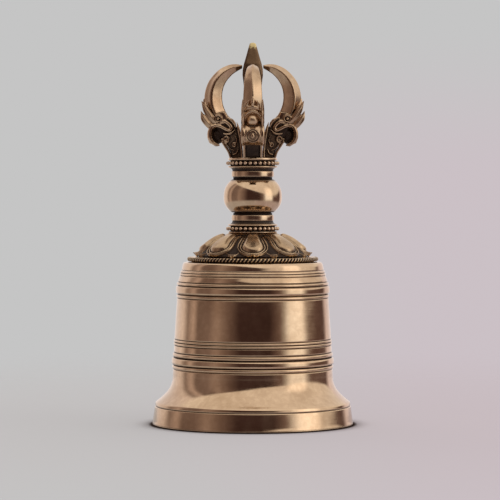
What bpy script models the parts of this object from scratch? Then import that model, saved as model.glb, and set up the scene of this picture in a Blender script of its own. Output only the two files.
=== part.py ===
"""Hand bell with a vajra crown: a cast bowl under a handle that stacks on one tie rod.

Metres, +Z up. The origin is the middle of the mouth, on the surface that the bell stands on.
The rod clamps the bowl, a rope-edged plate, a lotus dome, two beaded collars and a knob
between a nut inside the bowl and the spike at the top. Four prongs with beast heads stand
round the spike. A clapper hangs inside from a stirrup that turns on the rod's lower end.
"""

import math

import bmesh
import bpy
from mathutils import Matrix, Vector

MM = 0.001
GAP = 0.3 * MM  # clearance kept between two pieces that touch
ROUND_SEGMENTS = 36
SMALL_SEGMENTS = 24
SLIVER = 0.05 * MM  # edges shorter than this are closed up where shapes join

# Bowl: lip band, flare, tapering waist and curved shoulder, from the mouth up
BELL_HEIGHT = 76.8 * MM
MOUTH_RADIUS = 47.5 * MM
LIP_HEIGHT = 11.2 * MM
LIP_TAPER = 1.5 * MM  # how much narrower the lip band is at its top edge
LIP_FACE = 3.2 * MM  # width of the flat ring that the bell stands on
LIP_BEAD = 0.7 * MM
FLARE_HEIGHT = 11.6 * MM
FLARE_CURVE = 1.9
WAIST_FOOT_RADIUS = 38.0 * MM
WAIST_TAPER = 1.9 * MM  # how much narrower the waist is at the shoulder's foot
SHOULDER_HEIGHT = 16.4 * MM
SHOULDER_CURVE = 1.8
SHOULDER_TAPER = 3.5 * MM  # how much the shoulder draws in up to the crown
SHOULDER_EDGE = 0.9 * MM  # rounding where the shoulder turns into the flat crown
SOUND_BOW = 4.4 * MM  # thickest part of the wall, behind the lip band's top edge
WALL = 2.6 * MM
CROWN_THICKNESS = 4.0 * MM
INNER_FILLET = 5.0 * MM
LIP_TOP_RADIUS = MOUTH_RADIUS - LIP_TAPER
WAIST_TOP_RADIUS = WAIST_FOOT_RADIUS - WAIST_TAPER
SHOULDER_RADIUS = WAIST_TOP_RADIUS - SHOULDER_TAPER

# Mouldings round the bowl: (place of the middle, half the height, how far it stands proud)
LOWER_MOULDINGS = (  # places above the mouth
    (27.6 * MM, 0.8 * MM, 0.4 * MM),
    (30.3 * MM, 1.5 * MM, 0.8 * MM),
    (33.4 * MM, 0.8 * MM, 0.4 * MM),
    (38.5 * MM, 0.7 * MM, 0.35 * MM),
)
UPPER_MOULDINGS = (  # places below the crown
    (15.7 * MM, 0.75 * MM, 0.4 * MM),
    (13.1 * MM, 1.5 * MM, 0.8 * MM),
    (10.2 * MM, 0.7 * MM, 0.4 * MM),
    (5.6 * MM, 0.5 * MM, 0.35 * MM),
    (4.5 * MM, 0.5 * MM, 0.35 * MM),
)

# Tie rod, nut and washer
ROD_RADIUS = 2.5 * MM
WASHER_RADIUS = 8.0 * MM
WASHER_THICKNESS = 1.2 * MM
NUT_WALL = 2.4 * MM  # from the rod to the nut's flats
NUT_HEIGHT = 4.5 * MM
ROD_HEAD_OVERHANG = 1.7 * MM
ROD_HEAD_HEIGHT = 1.8 * MM

# Rope-edged plate and lotus dome
PLATE_INSET = 1.6 * MM  # from the shoulder's edge to the rope edge
PLATE_THICKNESS = 2.0 * MM
DOME_INSET = 3.0 * MM  # from the rope edge to the widest of the petals
DOME_RISE = 12.5 * MM  # height at which the dome's ellipse would close
DOME_HEIGHT = 10.8 * MM
DOME_TIP_HEIGHT = 1.5 * MM
DOME_FOOT_INSET = 2.0 * MM
DOME_SHELL = 2.8 * MM
PETALS = 8
PETAL_RELIEF = 0.9 * MM
DOME_SEGMENTS = 64

# Beaded collars, one below and one above the knob
BEADS = 36
BEAD_RADIUS = 1.05 * MM
BEAD_RING_RADIUS = 11.95 * MM
BEAD_NECK = 0.55  # radius of the wire between two beads, as a share of the bead's
COLLAR_EDGE_RADIUS = 11.3 * MM
COLLAR_EDGE = 0.7 * MM  # thickness of the thin flange on the neck's side of the beads
LOWER_SEAT = 0.6 * MM  # thickness of the lower collar's flange on the dome
UPPER_SEAT = 1.2 * MM  # thickness of the upper collar's flange under the prongs
COVE_HEIGHT = 2.3 * MM
NECK_BAND_RADIUS = 9.9 * MM
NECK_BAND_HEIGHT = 2.1 * MM
NECK_RADIUS = 9.3 * MM
NECK_HEIGHT = 0.9 * MM

# Knob
KNOB_RADIUS = 13.7 * MM
KNOB_HEIGHT = 15.5 * MM
KNOB_STEP = 0.5 * MM  # how far the knob's ends stand out past the necks
KNOB_SQUARENESS = 2.5
KNOB_ROUNDING = 0.85  # lower is squarer at the shoulders

# Central spike
SPIKE_WALL = 1.1 * MM  # metal left round the rod's socket
SPIKE_SOCKET = 12.0 * MM
SPIKE_CHAMFER = 0.35  # share of a side that each corner's chamfer takes
SPIKE_STEM_HEIGHT = 34.0 * MM
SPIKE_HEAD = (  # above the stem: (height, half width)
    (5.5 * MM, 4.75 * MM),
    (11.0 * MM, 3.8 * MM),
    (16.6 * MM, 2.4 * MM),
    (19.2 * MM, 1.4 * MM),
    (19.9 * MM, 0.8 * MM),
)

# Prongs. Points are (outwards, up) from the inner corner of the prong's foot.
PRONG_STANDOFF = 0.7 * MM  # from the spike's stem to the prongs' feet
ARM_HALF_WIDTH = 3.8 * MM  # at the foot's inner corner
ARM_SPREAD = 0.1  # growth of the half width for each unit outwards
ARM_OUTLINE = (
    (0.0, 0.0),
    (6.2, 0.0),
    (8.0, 3.3),
    (9.6, 5.7),
    (11.6, 5.1),  # curled trunk
    (14.3, 7.1),
    (15.5, 10.2),
    (14.7, 13.3),
    (18.2, 18.6),
    (19.5, 21.6),  # lower ear
    (17.0, 20.2),
    (18.8, 25.6),  # upper ear
    (14.6, 20.6),
    (8.0, 20.2),
    (2.6, 15.9),
    (1.4, 11.0),
    (0.4, 4.7),
)
BOW_OUTER_CENTRE = (3.4 * MM, 28.1 * MM)
BOW_OUTER_RADIUS = 15.3 * MM
BOW_OUTER_ANGLES = (-34.0, 101.5)
BOW_INNER_CENTRE = (-4.0 * MM, 28.4 * MM)
BOW_INNER_RADIUS = 13.4 * MM
BOW_INNER_ANGLES = (-52.0, 71.0)
BOW_HALF_WIDTH = 5.0 * MM
BOW_TIP_HALF_WIDTH = 0.4 * MM
BOW_FLANK = 0.45  # where the side edges lie between the outer ridge and the inner face
BOW_INNER_WIDTH = 0.6  # width of the inner face, as a share of the widest
BOW_STEPS = 14
TENON_RADIUS = 1.4 * MM
TENON_LENGTH = 3.0 * MM
TENON_OUTWARDS = 3.2 * MM  # from the foot's inner corner

# Stirrup, pin and clapper
STIRRUP_PLAY = 0.6 * MM  # up and down between the nut and the rod's head
STIRRUP_THICKNESS = 1.4 * MM
STIRRUP_WIDTH = 8.6 * MM
STIRRUP_SIDE_PLAY = 0.7 * MM  # from the rod's head to each leg
LEG_EDGE = 1.4 * MM  # metal left below the pin's hole
PIN_RADIUS = 1.3 * MM
PIN_HEAD_OVERHANG = 0.8 * MM
PIN_HEAD_HEIGHT = 0.9 * MM
EYE_HEAD_PLAY = 1.7 * MM  # from the underside of the rod's head to the clapper's eye
EYE_WALL = 1.4 * MM
EYE_SIDE_PLAY = 0.7 * MM
CLAPPER_LIFT = 5.1 * MM  # from the plane of the mouth to the clapper's lower end
SHANK_TOP_RADIUS = 1.8 * MM
SHANK_FOOT_RADIUS = 2.3 * MM
BALL_RADIUS = 7.0 * MM
SHANK_TAIL = 1.2 * MM  # riveted end below the ball

# Levels that the sizes above set
BORE_RADIUS = ROD_RADIUS + GAP
ROD_HEAD_RADIUS = ROD_RADIUS + ROD_HEAD_OVERHANG
PLATE_RADIUS = SHOULDER_RADIUS - PLATE_INSET
DOME_RADIUS = PLATE_RADIUS - DOME_INSET
KNOB_END_RADIUS = NECK_RADIUS + KNOB_STEP
FLARE_TOP = LIP_HEIGHT + FLARE_HEIGHT
SHOULDER_FOOT = BELL_HEIGHT - SHOULDER_HEIGHT
COLLAR_SEAT_RADIUS = BEAD_RING_RADIUS - BEAD_RADIUS - GAP
BEAD_SLOT = 2 * (BEAD_RADIUS + GAP)
PLATE_Z = BELL_HEIGHT + GAP
DOME_Z = PLATE_Z + PLATE_THICKNESS + GAP
LOWER_COLLAR_Z = DOME_Z + DOME_HEIGHT + GAP
LOWER_COLLAR_HEIGHT = (
    LOWER_SEAT + BEAD_SLOT + COLLAR_EDGE + COVE_HEIGHT + NECK_BAND_HEIGHT + NECK_HEIGHT
)
UPPER_COLLAR_HEIGHT = LOWER_COLLAR_HEIGHT - LOWER_SEAT + UPPER_SEAT
KNOB_Z = LOWER_COLLAR_Z + LOWER_COLLAR_HEIGHT + GAP
UPPER_COLLAR_Z = KNOB_Z + KNOB_HEIGHT + GAP
CROWN_Z = UPPER_COLLAR_Z + UPPER_COLLAR_HEIGHT + GAP
SPIKE_HALF_WIDTH = BORE_RADIUS + SPIKE_WALL
PRONG_INNER_RADIUS = SPIKE_HALF_WIDTH + PRONG_STANDOFF
WASHER_Z = BELL_HEIGHT - CROWN_THICKNESS - GAP - WASHER_THICKNESS
NUT_Z = WASHER_Z - GAP - NUT_HEIGHT
STIRRUP_TOP_Z = NUT_Z - STIRRUP_PLAY
ROD_HEAD_TOP_Z = STIRRUP_TOP_Z - STIRRUP_THICKNESS - GAP
ROD_HEAD_Z = ROD_HEAD_TOP_Z - ROD_HEAD_HEIGHT
STIRRUP_HALF_SPAN = ROD_HEAD_RADIUS + STIRRUP_SIDE_PLAY  # inside the legs
PIN_HEAD_RADIUS = PIN_RADIUS + PIN_HEAD_OVERHANG
EYE_RADIUS = PIN_RADIUS + GAP + EYE_WALL
EYE_HALF_LENGTH = STIRRUP_HALF_SPAN - EYE_SIDE_PLAY
PIN_Z = ROD_HEAD_Z - EYE_HEAD_PLAY - EYE_RADIUS
LEG_FOOT_Z = PIN_Z - PIN_RADIUS - GAP - LEG_EDGE
BALL_Z = CLAPPER_LIFT + SHANK_TAIL + BALL_RADIUS


# Small tools


def clear_scene():
    for obj in list(bpy.data.objects):
        bpy.data.objects.remove(obj, do_unlink=True)


def between(low, high, share):
    return low + (high - low) * share


def metal(name, colour, roughness, metallic=1.0):
    material = bpy.data.materials.new(name)
    material.use_nodes = True
    shader = material.node_tree.nodes["Principled BSDF"]
    shader.inputs["Base Color"].default_value = (*colour, 1.0)
    shader.inputs["Roughness"].default_value = roughness
    shader.inputs["Metallic"].default_value = metallic
    return material


def new_object(name, bm, material, location=(0.0, 0.0, 0.0), parent=None):
    """Links a mesh object. With a parent empty, location is still the place in the world."""
    bmesh.ops.recalc_face_normals(bm, faces=bm.faces)
    mesh = bpy.data.meshes.new(name)
    bm.to_mesh(mesh)
    bm.free()
    mesh.shade_smooth()
    mesh.set_sharp_from_angle(angle=math.radians(35))
    mesh.materials.append(material)
    obj = bpy.data.objects.new(name, mesh)
    bpy.context.scene.collection.objects.link(obj)
    if parent:
        obj.parent = parent
        obj.location = Vector(location) - parent.location
    else:
        obj.location = location
    return obj


def new_empty(name, location):
    empty = bpy.data.objects.new(name, None)
    empty.location = location
    bpy.context.scene.collection.objects.link(empty)
    return empty


def turned(outline, segments=ROUND_SEGMENTS):
    """A ring of metal turned about Z from a closed outline of (radius, height) off the axis."""
    bm = bmesh.new()
    verts = [bm.verts.new((radius, 0, height)) for radius, height in outline]
    edges = [bm.edges.new(pair) for pair in zip(verts, verts[1:] + verts[:1])]
    bmesh.ops.spin(
        bm,
        geom=verts + edges,
        axis=(0, 0, 1),
        cent=(0, 0, 0),
        angle=math.tau,
        steps=segments,
        use_merge=True,
    )
    bmesh.ops.remove_doubles(bm, verts=bm.verts, dist=1e-7)
    return bm


def lofted(sections):
    """A closed skin over a row of loops that have the same number of points."""
    bm = bmesh.new()
    loops = [[bm.verts.new(point) for point in section] for section in sections]
    for near, far in zip(loops, loops[1:]):
        for i in range(len(near)):
            j = (i + 1) % len(near)
            bm.faces.new((near[i], near[j], far[j], far[i]))
    bm.faces.new(loops[0])
    bm.faces.new(loops[-1])
    return bm


def cylinder(radius, length, matrix=Matrix(), segments=SMALL_SEGMENTS):
    """A plain bar along Z, centred on the matrix's origin."""
    bm = bmesh.new()
    bmesh.ops.create_cone(
        bm,
        cap_ends=True,
        segments=segments,
        radius1=radius,
        radius2=radius,
        depth=length,
        matrix=matrix,
    )
    return bm


def as_tool(obj):
    """Marks an object as a helper that only cuts or joins."""
    obj.hide_render = True
    obj.display_type = "WIRE"
    return obj


def boolean(obj, tool, operation):
    modifier = obj.modifiers.new(f"{operation.lower()}_{tool.name}", "BOOLEAN")
    modifier.object = as_tool(tool)
    modifier.operation = operation
    modifier.solver = "EXACT"


def along_y(y=0.0, z=0.0):
    """Lays a bar that was made along Z down along Y."""
    return Matrix.Translation((0, y, z)) @ Matrix.Rotation(math.pi / 2, 4, "X")


# Bowl


def wall_radius(z):
    """Outer radius of the wall above the lip band, without its mouldings."""
    if z < FLARE_TOP:
        share = ((FLARE_TOP - z) / FLARE_HEIGHT) ** FLARE_CURVE
        return between(WAIST_FOOT_RADIUS, LIP_TOP_RADIUS - LIP_BEAD, share)
    if z < SHOULDER_FOOT:
        share = (z - FLARE_TOP) / (SHOULDER_FOOT - FLARE_TOP)
        return between(WAIST_FOOT_RADIUS, WAIST_TOP_RADIUS, share)
    share = ((z - SHOULDER_FOOT) / SHOULDER_HEIGHT) ** SHOULDER_CURVE
    return between(WAIST_TOP_RADIUS, SHOULDER_RADIUS, share)


def inner_radius(z):
    """Inner radius: the wall is thickest at the sound bow, behind the lip band's top edge."""
    if z < LIP_HEIGHT:
        share = z / LIP_HEIGHT
        outer = between(MOUTH_RADIUS, LIP_TOP_RADIUS, share)
        return outer - between(LIP_FACE, SOUND_BOW, share)
    share = min(1.0, (z - LIP_HEIGHT) / FLARE_HEIGHT)
    return wall_radius(z) - between(SOUND_BOW - LIP_BEAD, WALL, share)


def moulding_points(middle, half_height, proud):
    """A half-round moulding on the wall, from its foot to its top."""
    steps = 4 if half_height > MM else 2
    points = []
    for step in range(steps + 1):
        angle = math.pi * step / steps
        z = middle - half_height * math.cos(angle)
        points.append((wall_radius(z) + proud * math.sin(angle), z))
    return points


def bowl_outline():
    outline = [(MOUTH_RADIUS - LIP_FACE, 0), (MOUTH_RADIUS, 0)]
    outline += [
        (LIP_TOP_RADIUS, LIP_HEIGHT - 2 * LIP_BEAD),
        (LIP_TOP_RADIUS, LIP_HEIGHT - LIP_BEAD),
        (LIP_TOP_RADIUS - LIP_BEAD, LIP_HEIGHT),
    ]
    flare_steps = 6
    for step in range(1, flare_steps + 1):
        z = between(LIP_HEIGHT, FLARE_TOP, step / flare_steps)
        outline.append((wall_radius(z), z))
    for height, half_height, proud in LOWER_MOULDINGS:
        outline += moulding_points(height, half_height, proud)
    for depth, half_height, proud in UPPER_MOULDINGS:
        outline += moulding_points(BELL_HEIGHT - depth, half_height, proud)
    for share in (0, 0.5, 1):
        angle = share * math.pi / 2
        z = BELL_HEIGHT - SHOULDER_EDGE * (1 - math.sin(angle))
        outline.append((wall_radius(z) - SHOULDER_EDGE * (1 - math.cos(angle)), z))
    ceiling = BELL_HEIGHT - CROWN_THICKNESS
    outline += [(BORE_RADIUS, BELL_HEIGHT), (BORE_RADIUS, ceiling)]
    for step in range(4):
        angle = math.pi / 2 * (1 - step / 3)
        z = ceiling - INNER_FILLET * (1 - math.sin(angle))
        outline.append((inner_radius(z) - INNER_FILLET * (1 - math.cos(angle)), z))
    outline.append((inner_radius(SHOULDER_FOOT), SHOULDER_FOOT))
    inner_steps = 6
    for step in range(inner_steps):
        z = between(FLARE_TOP, LIP_HEIGHT, step / inner_steps)
        outline.append((inner_radius(z), z))
    outline.append((inner_radius(LIP_HEIGHT - GAP), LIP_HEIGHT - GAP))
    return outline


def make_bowl(material):
    return new_object("bell_body", turned(bowl_outline()), material)


# Handle, from the bowl up


def make_rope_plate(material):
    rim = PLATE_THICKNESS / 2
    outline = [(BORE_RADIUS, 0)]
    for step in range(5):
        angle = math.pi * step / 4
        radius = PLATE_RADIUS - rim + rim * math.sin(angle)
        outline.append((radius, rim - rim * math.cos(angle)))
    outline.append((BORE_RADIUS, PLATE_THICKNESS))
    return new_object("rope_plate", turned(outline), material, (0, 0, PLATE_Z))


def dome_radius(height):
    return DOME_RADIUS * math.sqrt(1 - (height / DOME_RISE) ** 2)


def petal_relief(angle, height):
    """How far the dome's skin is sunk between two petals, at an angle round the bell."""
    across = abs(math.cos(angle * PETALS / 2))
    down = 1 - (height - DOME_TIP_HEIGHT) / (DOME_HEIGHT - DOME_TIP_HEIGHT)
    return PETAL_RELIEF * (1 - across**0.5) * math.sin(math.pi * min(1.0, down + 0.15) / 2)


def make_lotus_dome(material):
    foot_radius = DOME_RADIUS - DOME_FOOT_INSET
    hollow_radius = foot_radius - DOME_SHELL
    hollow_rise = DOME_HEIGHT - DOME_SHELL
    outline = [(hollow_radius, 0), (foot_radius, 0)]
    dome_steps = 7
    for step in range(dome_steps + 1):
        height = between(DOME_TIP_HEIGHT, DOME_HEIGHT, math.sin(math.pi / 2 * step / dome_steps))
        outline.append((dome_radius(height), height))
    outline += [(BORE_RADIUS, DOME_HEIGHT), (BORE_RADIUS, hollow_rise)]
    for step in range(1, 4):
        angle = math.pi / 2 * step / 4
        outline.append((hollow_radius * math.sin(angle), hollow_rise * math.cos(angle)))
    bm = turned(outline, DOME_SEGMENTS)
    for vert in bm.verts:
        radius = math.hypot(vert.co.x, vert.co.y)
        on_skin = DOME_TIP_HEIGHT <= vert.co.z + 1e-7 < DOME_HEIGHT
        if on_skin and radius > dome_radius(vert.co.z) - GAP:
            sunk = petal_relief(math.atan2(vert.co.y, vert.co.x), vert.co.z)
            vert.co.xy *= (radius - sunk) / radius
    return new_object("lotus_dome", bm, material, (0, 0, DOME_Z))


def collar_outline(seat):
    """Outline of a collar from its flange, past the beads' seat and the cove, to its neck."""
    flange = seat + BEAD_SLOT
    cove_foot = flange + COLLAR_EDGE
    band_foot = cove_foot + COVE_HEIGHT
    neck_foot = band_foot + NECK_BAND_HEIGHT
    outline = [
        (BORE_RADIUS, 0),
        (COLLAR_EDGE_RADIUS, 0),
        (COLLAR_EDGE_RADIUS, seat),
        (COLLAR_SEAT_RADIUS, seat),
        (COLLAR_SEAT_RADIUS, flange),
        (COLLAR_EDGE_RADIUS, flange),
        (COLLAR_EDGE_RADIUS, cove_foot),
    ]
    for step in range(1, 4):
        angle = math.pi / 2 * step / 3
        radius = between(COLLAR_EDGE_RADIUS - COLLAR_EDGE / 2, NECK_RADIUS, math.sin(angle))
        outline.append((radius, between(band_foot, cove_foot, math.cos(angle))))
    outline += [
        (NECK_BAND_RADIUS, band_foot + COLLAR_EDGE / 2),
        (NECK_BAND_RADIUS, neck_foot),
        (NECK_RADIUS, neck_foot),
        (NECK_RADIUS, neck_foot + NECK_HEIGHT),
        (BORE_RADIUS, neck_foot + NECK_HEIGHT),
    ]
    return outline


def make_lower_collar(material):
    bm = turned(collar_outline(LOWER_SEAT))
    return new_object("lower_collar", bm, material, (0, 0, LOWER_COLLAR_Z))


def prong_turn(quarter):
    return Matrix.Rotation(quarter * math.pi / 2, 4, "Z")


def make_upper_collar(material):
    """The same collar upside down, with a socket in its top flange for each prong's tenon."""
    outline = [(r, UPPER_COLLAR_HEIGHT - z) for r, z in collar_outline(UPPER_SEAT)]
    collar = new_object("upper_collar", turned(outline), material, (0, 0, UPPER_COLLAR_Z))
    depth = TENON_LENGTH + GAP
    reach = Matrix.Translation(
        (PRONG_INNER_RADIUS + TENON_OUTWARDS, 0, UPPER_COLLAR_HEIGHT - depth / 2 + GAP)
    )
    for quarter in range(4):
        bm = cylinder(TENON_RADIUS + GAP, depth + 2 * GAP, prong_turn(quarter) @ reach, 12)
        cutter = new_object(f"tenon_socket_{quarter}", bm, material, (0, 0, UPPER_COLLAR_Z))
        boolean(collar, cutter, "DIFFERENCE")
    return collar


def make_bead_ring(name, middle_z, material):
    """Beaded wire: a ring whose wire swells into a bead again and again."""
    steps_per_bead = 2
    sides = 6
    sections = []
    for step in range(BEADS * steps_per_bead):
        angle = math.tau * step / (BEADS * steps_per_bead)
        swell = abs(math.cos(angle * BEADS / 2))
        radius = BEAD_RADIUS * between(BEAD_NECK, 1, swell)
        turn = Matrix.Rotation(angle, 4, "Z")
        sections.append(
            [
                turn
                @ Vector(
                    (
                        BEAD_RING_RADIUS + radius * math.cos(math.tau * side / sides),
                        0,
                        radius * math.sin(math.tau * side / sides),
                    )
                )
                for side in range(sides)
            ]
        )
    bm = bmesh.new()
    loops = [[bm.verts.new(point) for point in section] for section in sections]
    for near, far in zip(loops, loops[1:] + loops[:1]):
        for side in range(sides):
            after = (side + 1) % sides
            bm.faces.new((near[side], near[after], far[after], far[side]))
    return new_object(name, bm, material, (0, 0, middle_z))


def make_knob(material):
    steps = 10
    outline = [(BORE_RADIUS, 0)]
    for step in range(steps + 1):
        across = -math.cos(math.pi * step / steps)
        bulge = (1 - abs(across) ** KNOB_SQUARENESS) ** KNOB_ROUNDING
        radius = between(KNOB_END_RADIUS, KNOB_RADIUS, bulge)
        outline.append((radius, KNOB_HEIGHT * (1 + across) / 2))
    outline.append((BORE_RADIUS, KNOB_HEIGHT))
    return new_object("handle_knob", turned(outline), material, (0, 0, KNOB_Z))


# Crown: spike and prongs


def make_spike(material):
    """A square stem with chamfered corners that swells to a spear head, bored for the rod."""
    levels = [(0, SPIKE_HALF_WIDTH), (SPIKE_STEM_HEIGHT, SPIKE_HALF_WIDTH)]
    levels += [(SPIKE_STEM_HEIGHT + height, half) for height, half in SPIKE_HEAD]
    sections = []
    for height, half in levels:
        inset = half * (1 - SPIKE_CHAMFER)
        corners = []
        for quarter in range(4):
            turn = prong_turn(quarter)
            corners += [turn @ Vector((half, -inset, height)), turn @ Vector((half, inset, height))]
        sections.append(corners)
    spike = new_object("central_spike", lofted(sections), material, (0, 0, CROWN_Z))
    socket = cylinder(
        BORE_RADIUS, SPIKE_SOCKET + GAP, Matrix.Translation((0, 0, (SPIKE_SOCKET - GAP) / 2))
    )
    boolean(spike, new_object("rod_socket", socket, material, (0, 0, CROWN_Z)), "DIFFERENCE")
    return spike


def arm_half_width(outwards):
    return ARM_HALF_WIDTH + ARM_SPREAD * outwards


def prong_arm():
    """The foot and beast head in side view, as thick as the arm and wider outwards."""
    bm = bmesh.new()
    sides = []
    for side in (-1, 1):
        points = [(x * MM, side * arm_half_width(x * MM), z * MM) for x, z in ARM_OUTLINE]
        sides.append([bm.verts.new(point) for point in points])
    for verts in sides:
        bm.faces.new(verts)
    count = len(ARM_OUTLINE)
    for i in range(count):
        j = (i + 1) % count
        bm.faces.new((sides[0][i], sides[0][j], sides[1][j], sides[1][i]))
    bmesh.ops.triangulate(bm, faces=bm.faces)
    return bm


def on_circle(centre, radius, angle):
    turn = math.radians(angle)
    return Vector((centre[0] + radius * math.cos(turn), 0, centre[1] + radius * math.sin(turn)))


def prong_bow():
    """The curved horn: a crescent between two circles, with a ridge along its outside."""
    sections = []
    for step in range(BOW_STEPS + 1):
        share = step / BOW_STEPS
        ridge = on_circle(BOW_OUTER_CENTRE, BOW_OUTER_RADIUS, between(*BOW_OUTER_ANGLES, share))
        inner = on_circle(BOW_INNER_CENTRE, BOW_INNER_RADIUS, between(*BOW_INNER_ANGLES, share))
        half = BOW_TIP_HALF_WIDTH + (BOW_HALF_WIDTH - BOW_TIP_HALF_WIDTH) * (1 - share**2)
        flank = ridge.lerp(inner, BOW_FLANK)
        sideways = Vector((0, half, 0))
        sections.append(
            [
                ridge,
                flank + sideways,
                inner + sideways * BOW_INNER_WIDTH,
                inner - sideways * BOW_INNER_WIDTH,
                flank - sideways,
            ]
        )
    return lofted(sections)


def prong_mesh(material):
    """One cast prong, joined from its arm, its bow and its tenon."""
    prong = new_object("prong_arm", prong_arm(), material)
    boolean(prong, new_object("prong_bow", prong_bow(), material), "UNION")
    overlap = TENON_RADIUS
    middle = Matrix.Translation((TENON_OUTWARDS, 0, (overlap - TENON_LENGTH) / 2))
    bm = cylinder(TENON_RADIUS, TENON_LENGTH + overlap, middle, 12)
    boolean(prong, new_object("prong_tenon", bm, material), "UNION")
    bpy.context.view_layer.update()
    graph = bpy.context.evaluated_depsgraph_get()
    mesh = bpy.data.meshes.new_from_object(prong.evaluated_get(graph))
    bm = bmesh.new()
    bm.from_mesh(mesh)
    bmesh.ops.remove_doubles(bm, verts=bm.verts, dist=SLIVER)
    bmesh.ops.dissolve_degenerate(bm, edges=bm.edges, dist=SLIVER)
    bmesh.ops.triangulate(bm, faces=bm.faces)
    bm.to_mesh(mesh)
    bm.free()
    tools = [modifier.object for modifier in prong.modifiers]
    for helper in [prong, *tools]:
        bpy.data.objects.remove(helper, do_unlink=True)
    return mesh


def make_prongs(material):
    mesh = prong_mesh(material)
    mesh.transform(Matrix.Translation((PRONG_INNER_RADIUS, 0, 0)))
    for quarter, side in enumerate(("right", "back", "left", "front")):
        prong = bpy.data.objects.new(f"prong_{side}", mesh)
        prong.location = (0, 0, CROWN_Z)
        prong.rotation_euler = (0, 0, quarter * math.pi / 2)
        bpy.context.scene.collection.objects.link(prong)


# Tie rod and its fastening


def make_tie_rod(material):
    """A long bolt: a domed head at its foot, and a shank that ends in the spike."""
    top = CROWN_Z + SPIKE_SOCKET - GAP
    dome_steps = 3
    sections = []
    for step in range(dome_steps):
        angle = math.radians(75 - 25 * step)
        sections.append((ROD_HEAD_RADIUS * math.cos(angle), -ROD_HEAD_HEIGHT * math.sin(angle)))
    sections.append((ROD_HEAD_RADIUS, 0))
    sections.append((ROD_RADIUS, 0))
    sections.append((ROD_RADIUS, top - ROD_HEAD_TOP_Z))
    loops = []
    for radius, height in sections:
        loops.append(
            [
                Matrix.Rotation(math.tau * i / SMALL_SEGMENTS, 4, "Z") @ Vector((radius, 0, height))
                for i in range(SMALL_SEGMENTS)
            ]
        )
    return new_object("tie_rod", lofted(loops), material, (0, 0, ROD_HEAD_TOP_Z))


def make_washer(material):
    outline = [
        (BORE_RADIUS, 0),
        (WASHER_RADIUS, 0),
        (WASHER_RADIUS, WASHER_THICKNESS),
        (BORE_RADIUS, WASHER_THICKNESS),
    ]
    bm = turned(outline, SMALL_SEGMENTS)
    return new_object("crown_washer", bm, material, (0, 0, WASHER_Z))


def make_nut(material):
    across_corners = 2 * (ROD_RADIUS + NUT_WALL) / math.cos(math.pi / 6)
    middle = Matrix.Translation((0, 0, NUT_HEIGHT / 2))
    body = cylinder(across_corners / 2, NUT_HEIGHT, middle, 6)
    nut = new_object("crown_nut", body, material, (0, 0, NUT_Z))
    bore = cylinder(BORE_RADIUS, NUT_HEIGHT + 2 * GAP, middle)
    boolean(nut, new_object("nut_bore", bore, material, (0, 0, NUT_Z)), "DIFFERENCE")
    return nut


# Stirrup and clapper


def make_stirrup(material, pivot):
    """A strip bent into a U, with a hole for the rod in its web and one for the pin in each leg."""
    outer = STIRRUP_HALF_SPAN + STIRRUP_THICKNESS
    top = STIRRUP_TOP_Z
    under = top - STIRRUP_THICKNESS
    foot = LEG_FOOT_Z
    corner = STIRRUP_THICKNESS
    outline = [
        (-outer, foot),
        (-STIRRUP_HALF_SPAN, foot),
        (-STIRRUP_HALF_SPAN, under),
        (STIRRUP_HALF_SPAN, under),
        (STIRRUP_HALF_SPAN, foot),
        (outer, foot),
        (outer, top - corner),
        (outer - corner, top),
        (corner - outer, top),
        (-outer, top - corner),
    ]
    half = STIRRUP_WIDTH / 2
    sections = [[Vector((x, y, z)) for y, z in outline] for x in (-half, half)]
    stirrup = new_object("clapper_stirrup", lofted(sections), material, parent=pivot)
    rod_hole = cylinder(BORE_RADIUS, 3 * STIRRUP_THICKNESS, Matrix.Translation((0, 0, under)))
    boolean(stirrup, new_object("stirrup_rod_hole", rod_hole, material), "DIFFERENCE")
    pin_hole = cylinder(PIN_RADIUS + GAP, 4 * outer, along_y(z=PIN_Z), 16)
    boolean(stirrup, new_object("stirrup_pin_hole", pin_hole, material), "DIFFERENCE")
    return stirrup


def make_pin(material, pivot):
    """A rivet along Y through both legs, with a flat head outside each."""
    outer = STIRRUP_HALF_SPAN + STIRRUP_THICKNESS + GAP
    end = outer + PIN_HEAD_HEIGHT
    profile = [
        (PIN_HEAD_RADIUS, -end),
        (PIN_HEAD_RADIUS, -outer),
        (PIN_RADIUS, -outer),
        (PIN_RADIUS, outer),
        (PIN_HEAD_RADIUS, outer),
        (PIN_HEAD_RADIUS, end),
    ]
    sections = []
    for radius, y in profile:
        angles = [math.tau * i / 16 for i in range(16)]
        sections.append([Vector((radius * math.cos(a), y, radius * math.sin(a))) for a in angles])
    return new_object("stirrup_pin", lofted(sections), material, (0, 0, PIN_Z), parent=pivot)


def make_clapper_rod(material, pivot):
    """An eight-sided shank under a barrel-shaped eye, riveted over below the ball."""
    foot = CLAPPER_LIFT - PIN_Z
    levels = [(-EYE_RADIUS / 2, SHANK_TOP_RADIUS), (foot, SHANK_FOOT_RADIUS)]
    sections = []
    for height, radius in levels:
        angles = [math.tau * (i + 0.5) / 8 for i in range(8)]
        sections.append([Vector((radius * math.cos(a), radius * math.sin(a), height)) for a in angles])
    rod = new_object("clapper_rod", lofted(sections), material, (0, 0, PIN_Z), parent=pivot)
    eye = cylinder(EYE_RADIUS, 2 * EYE_HALF_LENGTH, along_y())
    boolean(rod, new_object("clapper_eye", eye, material, (0, 0, PIN_Z)), "UNION")
    hole = cylinder(PIN_RADIUS + GAP, 3 * EYE_HALF_LENGTH, along_y(), 16)
    boolean(rod, new_object("clapper_eye_hole", hole, material, (0, 0, PIN_Z)), "DIFFERENCE")
    return rod


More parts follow.
